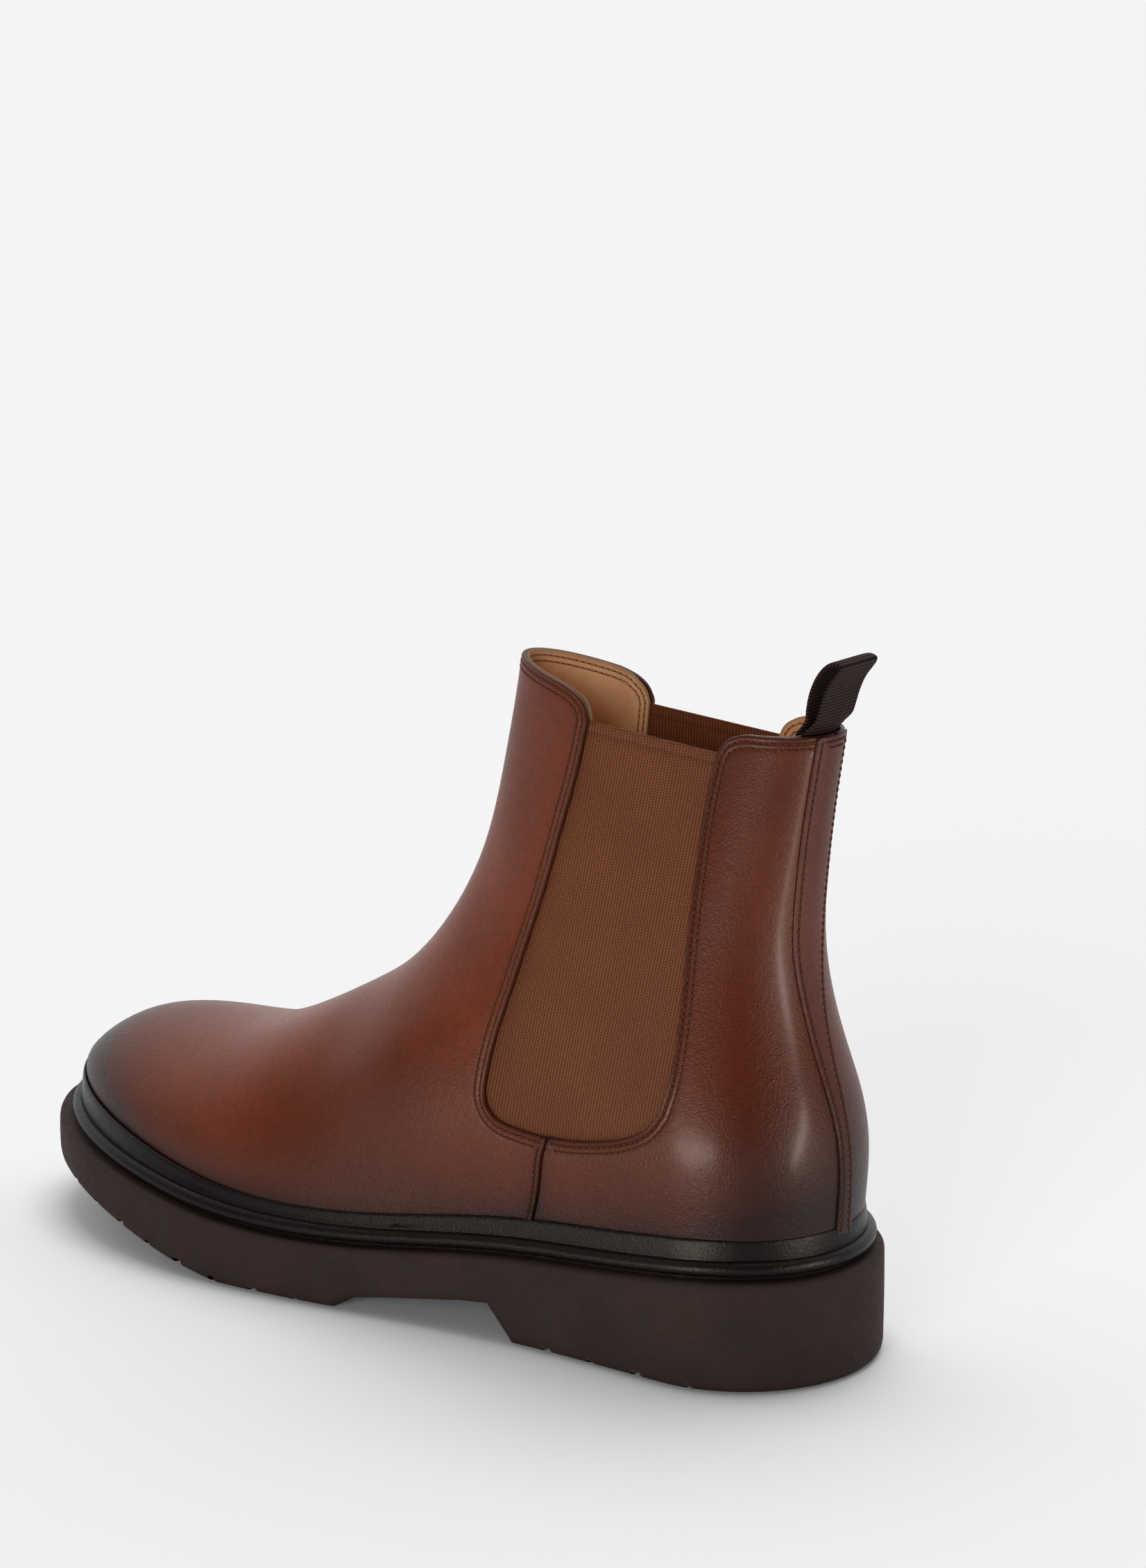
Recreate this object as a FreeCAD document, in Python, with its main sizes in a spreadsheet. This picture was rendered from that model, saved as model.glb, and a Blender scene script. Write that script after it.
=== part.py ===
import FreeCAD, Part
import math
import os

# A left chelsea boot. Lengths are millimetres. While it is built, x runs from the back of the heel to the
# toe, y to the outer side and z up from the floor. Every sub-part's Placement then moves it so that the
# origin is the middle of the boot's box, on the floor.

Vector = FreeCAD.Vector

DRIVING = [
    ("sole_length", 305.0, "outsole, heel to toe"),
    ("heel_radius", 41.0, "plan radius at the heel"),
    ("toe_reach", 66.0, "length over which the plan closes at the toe"),
    ("leather", 1.5, "upper leather"),
    ("glue_line", 0.1, "gap left for cement between layers"),
    ("lining", 0.75, "lining leather and elastic"),
    ("stiffener", 0.75, "toe puff, heel counter and backer"),
    ("strip", 1.0, "backstay, laid over the quarters"),
    ("board", 2.5, "insole board"),
    ("sock", 5.0, "footbed"),
    ("cover", 1.0, "leather cover of the footbed"),
    ("pad_height", 3.0, "heel pad under the footbed"),
    ("pad_length", 86.0, "heel pad"),
    ("pad_inset", 18.0, "heel pad, from the sole's edge"),
    ("margin", 20.0, "width of the lasted margin under the board, from the sole's edge"),
    ("bead_inset", 2.3, "welt bead, from the sole's edge"),
    ("rand_inset", 5.0, "smooth strip above the bead"),
    ("bead_top", 5.8, "top of the bead above the sole"),
    ("shank_length", 104.0, "steel shank"),
    ("shank_width", 15.0, "steel shank"),
    ("shank_start", 62.0, "steel shank, from the back of the heel"),
    ("shank_gap", 0.5, "between the shank and the cork at its ends"),
    ("breast", 94.0, "front of the heel block"),
    ("groove_depth", 2.6, "tread"),
    ("groove_width", 3.6, "tread, every second groove"),
    ("groove_reach", 24.0, "tread, in from the edge"),
    ("channel_width", 3.0, "tread, down the middle"),
    ("tab_width", 18.0, "pull tab ribbon"),
    ("tab_thick", 1.1, "pull tab ribbon"),
    ("tab_sewn", 16.0, "length of ribbon sewn inside the shaft"),
    ("pivot_x", 14.0, "pull tab fold line"),
    ("pivot_z", 189.6, "pull tab fold line"),
]


# ---------------------------------------------------------------- curves
def spline(points):
    """Natural cubic spline through (t, value) points, held straight outside them."""
    count = len(points)
    ts = [p[0] for p in points]
    vs = [p[1] for p in points]
    steps = [ts[i + 1] - ts[i] for i in range(count - 1)]
    bend = [0.0] * count
    upper = [0.0] * count
    right = [0.0] * count
    for i in range(1, count - 1):
        slope_change = (vs[i + 1] - vs[i]) / steps[i] - (vs[i] - vs[i - 1]) / steps[i - 1]
        pivot = 2 * (steps[i - 1] + steps[i]) - steps[i - 1] * upper[i - 1]
        upper[i] = steps[i] / pivot
        right[i] = (6 * slope_change - steps[i - 1] * right[i - 1]) / pivot
    for i in range(count - 2, 0, -1):
        bend[i] = right[i] - upper[i] * bend[i + 1]
    start_slope = (vs[1] - vs[0]) / steps[0] - steps[0] * bend[1] / 6
    end_slope = (vs[-1] - vs[-2]) / steps[-1] + steps[-1] * bend[-2] / 6

    def value(t):
        if t <= ts[0]:
            return vs[0] + (t - ts[0]) * start_slope
        if t >= ts[-1]:
            return vs[-1] + (t - ts[-1]) * end_slope
        i = 0
        while t > ts[i + 1]:
            i += 1
        a = (ts[i + 1] - t) / steps[i]
        b = 1 - a
        curve = (a ** 3 - a) * bend[i] + (b ** 3 - b) * bend[i + 1]
        return a * vs[i] + b * vs[i + 1] + curve * steps[i] ** 2 / 6

    return value


def smooth(start, end, x):
    """0 before start, 1 after end, and an even S curve between them."""
    t = min(1.0, max(0.0, (x - start) / (end - start)))
    return t * t * (3 - 2 * t)


def clamp(x):
    return min(1.0, max(0.0, x))


# Half widths of the sole each side of its long axis, by place along the boot, before the ends are rounded.
sole_outer = spline([(0, 41), (41, 41.5), (75, 41.5), (105, 43), (135, 47), (165, 52.5), (195, 56.5),
                     (222, 57), (245, 54), (305, 48)])
sole_inner = spline([(0, 41.5), (41, 41.5), (75, 39), (105, 36.5), (135, 38.5), (165, 45), (195, 51.5),
                     (222, 53.5), (245, 52), (305, 46)])
long_axis = spline([(0, 0), (120, 0), (200, -1), (260, -4), (305, -8)])
sole_top = spline([(0, 32.4), (30, 32.2), (58, 29.2), (88, 26.7), (117, 23.6), (141, 20.6), (169, 18.8),
                   (200, 19.6), (230, 23.3), (260, 27.2), (305, 32)])
welt_rise = spline([(0, 11.5), (100, 11.2), (185, 9.8), (245, 12.0), (305, 14.5)])
toe_spring = spline([(200, 0), (224, 4.6), (249, 10.2), (275, 14.8), (310, 17.8)])

# The ridge of the upper, from above the front of the top line down the instep to the toe, as (x, z).
RIDGE = [(118, 215), (121, 192), (125.5, 168), (132.5, 140), (140, 124), (150.5, 109), (162, 98), (178, 88),
         (198, 77.5), (222, 68.2), (246, 64.8), (264, 63), (279, 59), (289, 52.5), (295, 44.5), (296, 34)]
RIDGE_STEPS = 600
back_line = spline([(20, 6), (44, 6), (60, 5.4), (75, 7.3), (90, 12), (105, 16.2), (122, 18.4), (140, 17.6),
                    (163, 14.8), (188, 10.6), (215, 6)])
shaft_half = spline([(20, 35), (44, 35.2), (60, 36.2), (75, 35.4), (90, 33), (105, 30), (122, 26.5),
                     (140, 23), (163, 19), (188, 16.2), (215, 14.5)])
back_round = spline([(20, 36), (60, 36), (90, 34), (122, 30), (163, 24), (188, 20), (215, 18)])
front_round = spline([(20, 60), (90, 60), (122, 56), (150, 46), (188, 36), (215, 34)])

UPPER_INSET = 6.2       # leather at the welt, from the sole's edge
UPPER_TOE_INSET = 9.0   # the same at the toe, where the sole's ledge is wider
UPPER_HEEL_RADIUS = 36.0
UPPER_TOE_REACH = 64.0
LOW_PLANE = 14.0        # the lofts start here, inside the sole, and the panels are cut from them
BACK_TOP = 205.0        # the lofts end above the top line, in a plane through these heights
TOE_END = 0.11          # share of the loft's height over which its front edge stays at the toe
TOE_POWER = 2.2         # superellipse power of the toe's plan


def ridge_table():
    """The ridge as (x, z, distance along it), closely spaced."""
    along = [0.0]
    for a, b in zip(RIDGE, RIDGE[1:]):
        along.append(along[-1] + math.hypot(b[0] - a[0], b[1] - a[1]))
    ridge_x = spline([(t, p[0]) for t, p in zip(along, RIDGE)])
    ridge_z = spline([(t, p[1]) for t, p in zip(along, RIDGE)])
    ts = [along[-1] * k / RIDGE_STEPS for k in range(RIDGE_STEPS + 1)]
    return [(ridge_x(t), ridge_z(t), t) for t in ts]


def look_up(table, column, value, rising):
    """The row of the table, interpolated, where a column has this value."""
    low, high = 0, len(table) - 1
    while high - low > 1:
        middle = (low + high) // 2
        if (table[middle][column] < value) == rising:
            low = middle
        else:
            high = middle
    a, b = table[low], table[high]
    share = (value - a[column]) / (b[column] - a[column]) if b[column] != a[column] else 0.0
    return [p + (q - p) * share for p, q in zip(a, b)]


def closed_end(x, start, length, power):
    """1 inside, falling to 0 at start, as a superellipse of that length."""
    if length > 0:
        t = clamp((start + length - x) / length)
    else:
        t = clamp((x - (start + length)) / -length)
    return math.sqrt(max(0.0, 1 - t ** power))


class Boot:
    """The boot's outer surface, as a half width over its side view."""

    def __init__(self, size):
        self.size = size
        self.length = size["sole_length"]
        self.upper_start = UPPER_INSET
        self.upper_end = self.length - UPPER_TOE_INSET
        self.ridge = ridge_table()

    def plan_half(self, x, side, inset, toe_inset):
        """Half width of an outline that runs inside the sole's edge by inset, or by toe_inset at the toe."""
        width = (sole_outer if side > 0 else sole_inner)(x) - inset
        width *= closed_end(x, inset, self.size["heel_radius"] - inset, 2)
        reach = self.size["toe_reach"] - (toe_inset - inset) / 3
        return width * closed_end(x, self.length - toe_inset, -reach, TOE_POWER)

    def upper_half(self, x, side):
        """Half width of the leather where it meets the welt."""
        width = (sole_outer if side > 0 else sole_inner)(x) - UPPER_INSET - 1.5 * smooth(170, 250, x)
        width *= closed_end(x, self.upper_start, UPPER_HEEL_RADIUS, 2)
        return width * closed_end(x, self.upper_end, -UPPER_TOE_REACH, TOE_POWER)

    def welt_top(self, x):
        return sole_top(x) + welt_rise(x)

    def half(self, x, z, side):
        """Half width of the upper at a point of the side view: forefoot sections blend into shaft sections."""
        forward = smooth(120, 180, x)
        fore = 0.0
        shaft = 0.0
        if forward > 0:
            low = self.welt_top(x)
            high = look_up(self.ridge, 0, x, True)[1]
            rise = clamp((z - low) / max(0.5, high - low))
            power = 1.7 + 0.45 * smooth(150, 215, x)
            fore = self.upper_half(x, side) * (max(0.0, 1 - rise ** power)) ** (1 / 1.9)
        if forward < 1:
            plan = sole_outer if side > 0 else sole_inner
            width = shaft_half(z) + (plan(x) - sole_outer(45.0)) * (1 - smooth(60, 130, z))
            width *= closed_end(x, back_line(z), back_round(z), 2.2)
            front = look_up(self.ridge, 1, z, False)[0]
            shaft = width * closed_end(x, front, -front_round(z), 2.1)
        return (1 - forward) * shaft + forward * fore

    def point(self, turn, v):
        """Point of the surface: turn 0 at the back, pi at the front by the outer side; v 0 low, 1 high."""
        back_z = LOW_PLANE + (BACK_TOP - LOW_PLANE) * v
        if v < TOE_END:
            front_x = self.upper_end
            front_z = LOW_PLANE + (self.ridge[-1][1] - LOW_PLANE) * v / TOE_END
        else:
            share = 1 - (v - TOE_END) / (1 - TOE_END)
            row = look_up(self.ridge, 2, self.ridge[-1][2] * share, True)
            front_x, front_z = row[0], row[1]
        share = (1 - math.cos(turn)) / 2
        back_x = back_line(back_z)
        x = back_x + (front_x - back_x) * share
        z = back_z + (front_z - back_z) * share
        side = 1 if turn <= math.pi else -1
        middle = long_axis(x) * smooth(120, 180, x)
        return Vector(x, middle + side * self.half(x, z, side), z)

    def inside(self, turn, v, depth):
        """The same point moved inwards along the surface's normal."""
        step = 0.02
        around = Vector(0, 1, 0)
        if 0 < turn < 2 * math.pi:
            around = self.point(turn + step, v) - self.point(turn - step, v)
        rise = self.point(turn, min(1, v + step)) - self.point(turn, max(0, v - step))
        inward = around.cross(rise)
        inward.normalize()
        return self.point(turn, v) + inward * depth


# ---------------------------------------------------------------- solids
LOFT_LEVELS = [0, 0.06, 0.11, 0.15, 0.2, 0.27, 0.35, 0.43, 0.51, 0.6, 0.7, 0.8, 0.9, 1]
LOFT_POINTS = 36
OUTLINE_POINTS = 44
SIDE_REACH = 80.0       # further out than any half width
BEHIND = -20.0          # x of a plane behind the boot
AHEAD = 330.0           # x of a plane ahead of the boot
OVER = 260.0            # z of a plane over the boot
TALL = 80.0             # height of a plan solid that passes through the whole sole
TOE_MORE = 3.0          # the insets of the welt and the board grow by this much at the toe
SHAVING = 60.0          # mm3


def upper_solid(boot, depth):
    """Solid inside the upper's surface, the given depth below it, from the low plane past the top line."""
    wires = []
    for v in LOFT_LEVELS:
        turns = [2 * math.pi * i / LOFT_POINTS for i in range(LOFT_POINTS)]
        points = [boot.inside(t, v, depth) for t in turns]
        if v in (LOFT_LEVELS[0], LOFT_LEVELS[-1]):
            # the end sections close the solid, so their points go back to one plane
            first, last = boot.point(0, v), boot.point(math.pi, v)
            slope = (last.z - first.z) / (last.x - first.x)
            points = [Vector(p.x, p.y, first.z + slope * (p.x - first.x)) for p in points]
        wires.append(closed_wire(points))
    return Part.makeLoft(wires, True, False)


def closed_wire(points):
    """Smooth closed curve. Even parameters give every section of a loft the same knots."""
    count = len(points)
    curve = Part.BSplineCurve()
    curve.interpolate(Points=points, Parameters=[i / count for i in range(count + 1)], PeriodicFlag=True)
    return Part.Wire(curve.toShape())


def outline_wire(boot, inset, toe_inset, z):
    """Closed plan outline inside the sole's edge."""
    points = []
    for i in range(OUTLINE_POINTS):
        turn = 2 * math.pi * i / OUTLINE_POINTS
        start, end = inset, boot.length - toe_inset
        x = start + (end - start) * (1 - math.cos(turn)) / 2
        side = 1 if turn <= math.pi else -1
        points.append(Vector(x, long_axis(x) + side * boot.plan_half(x, side, inset, toe_inset), z))
    return closed_wire(points)


def plan_solid(boot, inset, toe_inset, low, high):
    face = Part.Face(outline_wire(boot, inset, toe_inset, low))
    return face.extrude(Vector(0, 0, high - low))


def spline_edge(points, y):
    curve = Part.BSplineCurve()
    curve.interpolate([Vector(x, y, z) for x, z in points])
    return curve.toShape()


def side_solid(runs, y_from=-SIDE_REACH, y_to=SIDE_REACH):
    """Side view outline pushed across the boot. Each run is a list of (x, z): two points make a line,
    more make a curve, and each run starts where the one before ended."""
    edges = []
    for run in runs:
        if len(run) == 2:
            edges.append(Part.LineSegment(Vector(run[0][0], y_from, run[0][1]),
                                          Vector(run[1][0], y_from, run[1][1])).toShape())
        else:
            edges.append(spline_edge(run, y_from))
    face = Part.Face(Part.Wire(edges))
    return face.extrude(Vector(0, y_to - y_from, 0))


def follow(function, start, end, rise=0.0, count=16):
    """Points along a height function."""
    xs = [start + (end - start) * i / (count - 1) for i in range(count)]
    return [(x, function(x) + rise) for x in xs]


def band(low, high, start=BEHIND, end=AHEAD):
    """Everything between two height functions, given as (function, rise)."""
    bottom = follow(low[0], start, end, low[1], 20)
    top = follow(high[0], end, start, high[1], 20)
    return side_solid([bottom, [bottom[-1], top[0]], top, [top[-1], bottom[0]]])


def shifted(points, dx, dz=0.0):
    return [(x + dx, z + dz) for x, z in points]


# Side view lines of the pattern, as (x, z).
GORE_FRONT = [(85.6, 184.2), (88.7, 167.4), (92.6, 150.8), (96.2, 134.3), (100.2, 117.8), (103.5, 101.5),
              (106.3, 88), (107.6, 77)]
GORE_CORNER_FRONT = [(107.6, 77), (107.2, 71.5), (103.4, 66.6), (97, 64.8)]
GORE_CORNER_BACK = [(62, 67.5), (55, 70.2), (49.5, 74), (46, 79)]
GORE_BACK = [(46, 79), (44, 87), (43.2, 98), (43.3, 111), (43.7, 123), (43.7, 146), (43.2, 158),
             (42, 170), (40, 180.4)]
SEAM_TOP = (84.6, 64.1)
SEAM_FOOT_X = 92.0
SIDE_SEAM = [SEAM_TOP, (86.4, 59), (88, 50), (89.8, 40)]
JOIN_BACK = [SEAM_TOP, (80, 64.3), (71, 65.5), (62, 67.5)]
JOIN_FRONT = [SEAM_TOP, (88, 64), (97, 64.8)]
QUARTER_TOP = [(40, 180.4), (38.6, 183.2), (35.6, 185.8), (29.7, 187.5)]
FRONT_TOP = [(85.6, 184.2), (86.8, 187.8), (90.6, 191.2), (97, 193.6)]
BACK_TOP_Z = 187.6
FRONT_TOP_END = (126, 199.4)
GORE_HIDDEN = 8.0       # how far the elastic runs under the leather
# Half width of the backstay, by height above its foot at the welt.
BACKSTAY_FOOT = 11.5
BACKSTAY_FOOT_HALF = 3.6
BACKSTAY = [(61, 3.2), (79, 3.6), (99, 4.8), (110, 5.8), (123, 7.2), (139, 7.5), (156, 7.4), (172, 7.1),
            (BACK_TOP_Z, 6.9)]
COUNTER_TOP = [(BEHIND, 84), (0, 84), (15, 82), (30, 74.5), (42, 62), (55, 51), (68, 44.5), (80, 38)]
FRONT_LINING_EDGE = [(100, 74), (190, 88)]
VAMP_LINING_EDGE = [(96, 66), (178, 80), (AHEAD, 110)]
PUFF_EDGE = [(236, 0), (230, 90)]


def quarter_outline(low):
    """Everything behind the gore and the side seam."""
    seam = SIDE_SEAM + [(SEAM_FOOT_X, low(SEAM_FOOT_X))]
    base = follow(low, SEAM_FOOT_X, BEHIND)
    top = (BEHIND, BACK_TOP_Z)
    return [base, [base[-1], top], [top, QUARTER_TOP[-1]], QUARTER_TOP[::-1], GORE_BACK[::-1],
            GORE_CORNER_BACK[::-1], JOIN_BACK[::-1], seam]


def vamp_outline(low):
    """Everything ahead of the gore and the side seam."""
    seam = [(SEAM_FOOT_X, low(SEAM_FOOT_X))] + SIDE_SEAM[::-1]
    base = follow(low, AHEAD, SEAM_FOOT_X)
    corner = (AHEAD, 150)
    return [base, seam, JOIN_FRONT, GORE_CORNER_FRONT[::-1], GORE_FRONT[::-1], FRONT_TOP,
            [FRONT_TOP[-1], FRONT_TOP_END], [FRONT_TOP_END, corner], [corner, base[0]]]


def gore_outline():
    """The elastic with the edges that are sewn under the leather."""
    front = shifted(GORE_FRONT, GORE_HIDDEN)
    back = shifted(GORE_BACK, -GORE_HIDDEN)
    bottom = [front[-1], (113, 66), (99, 57.2), (84, 56), (66, 58), (48, 63.5), back[0]]
    return [front, bottom, back, [back[-1], front[0]]]


def above_line(line, start=60.0):
    """Everything above a side view line, from start to the plane ahead of the boot."""
    edges = [[p, q] for p, q in zip(line, line[1:])]
    corners = [line[-1], (AHEAD, 120), (AHEAD, OVER), (start, OVER), (start, line[0][1]), line[0]]
    if line[-1][0] == AHEAD:
        corners.remove((AHEAD, 120))
    return side_solid(edges + [[p, q] for p, q in zip(corners, corners[1:])])


def half_space(side):
    """Everything on one side of the middle plane."""
    low = 0 if side > 0 else -SIDE_REACH
    return Part.makeBox(400, SIDE_REACH, 300, Vector(-50, low, -20))


def wide_box(start, end):
    """Everything between two places along the boot."""
    return Part.makeBox(end - start, 2 * SIDE_REACH, TALL, Vector(start, -SIDE_REACH, 0))


class Layers:
    """Shells of the upper and layers over the sole, from which the panels are cut."""

    def __init__(self, size, boot):
        self.size = size
        self.boot = boot
        self.glue = size["glue_line"]
        lining = size["leather"]
        inner = lining + size["stiffener"]
        full = inner + size["lining"]
        self.slab = Part.makeBox(400, 200, 186, Vector(-50, -100, LOW_PLANE + 1.5))
        self.outer = upper_solid(boot, 0)
        self.clear = upper_solid(boot, -self.glue)
        self.strip = self.shell(-size["strip"], -self.glue)
        self.leather = self.shell(0, lining - self.glue)
        self.thin = self.shell(lining, lining + size["lining"] - self.glue)
        self.thick = self.shell(lining, inner - self.glue)
        self.inner = self.shell(inner, full - self.glue)
        self.cavity = upper_solid(boot, full)

    def shell(self, outside, inside):
        """Layer of the upper between two depths, short of the ends of the lofts."""
        return upper_solid(self.boot, outside).common(self.slab).cut(upper_solid(self.boot, inside))

    def over_sole(self, low, thickness):
        """Layer of this thickness over the sole, starting a glue line above low."""
        return band((sole_top, low + self.glue), (sole_top, low + thickness))

    def on_sole(self, x):
        return sole_top(x) + self.glue

    def on_margin(self, x):
        return sole_top(x) + self.size["leather"] + self.glue


def leather_parts(layers):
    """Vamp and quarters, with the lasted margin turned in over the sole, and the backstay."""
    size, boot = layers.size, layers.boot
    opening = plan_solid(boot, size["margin"], size["margin"] + TOE_MORE, 0, TALL)
    margin = layers.outer.cut(opening).common(band((sole_top, -4), (sole_top, size["leather"])))
    leather = layers.leather.fuse(margin)
    quarter = leather.common(side_solid(quarter_outline(layers.on_sole)))
    edge = [(sole_top(0) + BACKSTAY_FOOT, BACKSTAY_FOOT_HALF)] + BACKSTAY
    left = [Vector(BEHIND, y, z) for z, y in edge]
    right = [Vector(BEHIND, -y, z) for z, y in edge]
    sides = []
    for points in (left, right[::-1]):
        curve = Part.BSplineCurve()
        curve.interpolate(points)
        sides.append(curve.toShape())
    top = Part.LineSegment(left[-1], right[-1]).toShape()
    foot = Part.LineSegment(right[0], left[0]).toShape()
    strip = Part.Face(Part.Wire([sides[0], top, sides[1], foot])).extrude(Vector(60, 0, 0))
    return {
        "vamp": leather.common(side_solid(vamp_outline(layers.on_sole))),
        "quarter_lateral": quarter.common(half_space(1)),
        "quarter_medial": quarter.common(half_space(-1)),
        "backstay": layers.strip.common(strip),
    }


def lining_parts(layers):
    """Elastic gores, linings and stiffeners."""
    gore_space = side_solid(gore_outline())
    gore = layers.thin.common(gore_space)
    front = side_solid(vamp_outline(layers.on_margin))
    above = above_line(FRONT_LINING_EDGE)
    low_front = layers.thick.common(front).cut(above).cut(gore_space)
    corner, foot = (AHEAD, PUFF_EDGE[1][1]), (AHEAD, PUFF_EDGE[0][1])
    toe_space = side_solid([PUFF_EDGE, [PUFF_EDGE[1], corner], [corner, foot], [foot, PUFF_EDGE[0]]])
    base = follow(layers.on_margin, COUNTER_TOP[-1][0], BEHIND)
    counter = side_solid([COUNTER_TOP, [COUNTER_TOP[-1], base[0]], base, [base[-1], COUNTER_TOP[0]]])
    room = Part.makeBox(30, layers.size["tab_width"] + 0.4, layers.size["tab_sewn"] + 6,
                        Vector(0, -layers.size["tab_width"] / 2 - 0.2, BACK_TOP_Z - layers.size["tab_sewn"]))
    rear = layers.thin.common(side_solid(quarter_outline(layers.on_margin))).cut(gore_space).cut(counter)
    over = above_line(VAMP_LINING_EDGE)
    lap, end, start = shifted(COUNTER_TOP, 3, 4), 83, -17
    sock_line = follow(layers.on_margin, end, start)
    heel_space = side_solid([lap, [lap[-1], sock_line[0]], sock_line, [sock_line[-1], lap[0]]])
    return {
        "gore_lateral": gore.common(half_space(1)),
        "gore_medial": gore.common(half_space(-1)),
        "lining_front": layers.thin.common(front).common(above).cut(gore_space),
        "lining_quarter": large_solids(rear.cut(room)),
        "vamp_backer": low_front.cut(toe_space),
        "toe_puff": low_front.common(toe_space),
        "heel_counter": layers.thick.common(counter),
        "vamp_lining": large_solids(layers.inner.common(front).cut(over)),
        "heel_lining": layers.inner.common(heel_space),
    }


def inside_parts(layers):
    """What the foot stands on."""
    size, boot = layers.size, layers.boot
    board_low = size["leather"]
    sock_low = board_low + size["board"]
    cover_low = sock_low + size["sock"]
    pad_room = plan_solid(boot, size["pad_inset"] - layers.glue, size["pad_inset"], 0, TALL)
    pad_room = pad_room.common(wide_box(0, size["pad_length"] + layers.glue))
    pad_room = pad_room.common(band((sole_top, 0), (sole_top, sock_low + size["pad_height"] + layers.glue)))
    return {
        "insole_board": layers.cavity.common(layers.over_sole(board_low, size["board"])),
        "footbed": layers.cavity.common(layers.over_sole(sock_low, size["sock"])).cut(pad_room),
        "sock_cover": layers.cavity.common(layers.over_sole(cover_low, size["cover"])),
    }


def welt(layers):
    """Bead, the neck that holds it to the sole, and the smooth strip against the leather."""
    size, boot = layers.size, layers.boot

    def ring(inset, low_rise, high):
        solid = plan_solid(boot, inset, inset + TOE_MORE, 0, TALL).cut(layers.clear)
        return solid.common(band((sole_top, low_rise), high))

    bead = ring(size["bead_inset"], 1.2, (sole_top, size["bead_top"]))
    neck = ring(size["bead_inset"] + 1.6, layers.glue, (sole_top, 1.3))
    rand = ring(size["rand_inset"], size["bead_top"] - 0.5, (boot.welt_top, 0))
    return bead.fuse([neck, rand])


def large_solids(shape):
    """The pieces of a panel without the shavings that its cuts leave."""
    return Part.makeCompound([solid for solid in shape.Solids if solid.Volume > SHAVING])


def pull_tab(size):
    """A ribbon folded in two, leaning back over the heel, with a slit between its legs."""
    px, pz = size["pivot_x"], size["pivot_z"]
    thick = size["tab_thick"]
    half_base = 1.7
    front = [(px + half_base, pz), (px + 1.0, pz + 8.5), (px - 1.4, pz + 14.6), (px - 4.6, pz + 18.6),
             (px - 8.8, pz + 20.2)]
    back = [(px - 10.6, pz + 18.6), (px - 7.0, pz + 14.2), (px - 4.6, pz + 9), (px - 3.0, pz + 4),
            (px - half_base, pz)]
    tip = [front[-1], (px - 10.6, pz + 20.0), back[0]]
    bottom = [back[-1], (px, pz - half_base), front[0]]
    y = -size["tab_width"] / 2
    solid = side_solid([front, tip, back, bottom], y, -y)
    slit_front = [(px + 0.5, pz + 3.2), (px - 0.2, pz + 8.4), (px - 2.5, pz + 13.9), (px - 5.2, pz + 17.4),
                  (px - 8.9, pz + 19.0)]
    slit_back = [(px - 8.9, pz + 19.0), (px - 6.0, pz + 13.6), (px - 3.6, pz + 8.5), (px - 2.0, pz + 5),
                 (px + 0.5, pz + 3.2)]
    slit = side_solid([slit_front, slit_back], y - 1, 1 - y)
    return solid.cut(slit)


SPRING_START = 202.0    # the sole leaves the floor here
BALL_START = 157.0
ARCH = [(103, 10.5), (112, 9.6), (124, 7.8), (137, 6), (150, 4)]
HEEL_GROOVES = [32.0, 49.5, 66.0, 82.0]
FORE_GROOVES = [169.5, 184.5, 199.5, 213.5, 227.0, 240.5, 254.0, 268.5]
NARROW_SHARE = 0.6
PAST = 10.0             # how far a cutter runs past the sole


def outsole(size, boot):
    """Moulded unit: heel block, waist, forefoot with toe spring, and cut tread."""
    body = plan_solid(boot, 0, 0, 0, 60)
    top = follow(sole_top, AHEAD, BEHIND, 0, 20)
    fore = follow(toe_spring, SPRING_START, AHEAD, 0, 8)
    fore[0] = (SPRING_START, 0)
    breast, ball = (size["breast"], 0), (BALL_START, 0)
    profile = [[top[-1], (BEHIND, 0)], [(BEHIND, 0), breast], [breast, ARCH[0]], ARCH, [ARCH[-1], ball],
               [ball, fore[0]], fore, [fore[-1], top[0]], top]
    body = body.common(side_solid(profile))
    deep, wide, reach = size["groove_depth"], size["groove_width"], size["groove_reach"]
    cutters = []
    for index, x in enumerate(HEEL_GROOVES + FORE_GROOVES):
        floor = toe_spring(x) if x > SPRING_START else 0.0
        width = wide if index % 2 else wide * NARROW_SHARE
        for side in (1, -1):
            edge = long_axis(x) + side * boot.plan_half(x, side, 0, 0)
            y = edge - reach if side > 0 else edge - PAST
            corner = Vector(x - width / 2, y, floor - PAST)
            cutters.append(Part.makeBox(width, reach + PAST, deep + PAST, corner))
    channel = size["channel_width"]
    for start, end, middle, lift in ((20, 84, 0, 0), (162, 258, -2, 0.4)):
        corner = Vector(start, middle - channel / 2, lift - PAST)
        cutters.append(Part.makeBox(end - start, channel, deep + PAST, corner))
    return body.cut(cutters)


# ---------------------------------------------------------------- document
def bound_box(doc, name, corner, **lengths):
    """Box whose sizes are bound to the sheet. lengths are expressions for Length, Width and Height."""
    item = doc.addObject("Part::Box", name)
    for key, expression in lengths.items():
        item.setExpression(key, expression)
    item.Placement = FreeCAD.Placement(corner, FreeCAD.Rotation())
    return item


def held_shape(doc, name, shape):
    item = doc.addObject("Part::Feature", name)
    item.Shape = shape
    return item


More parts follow.
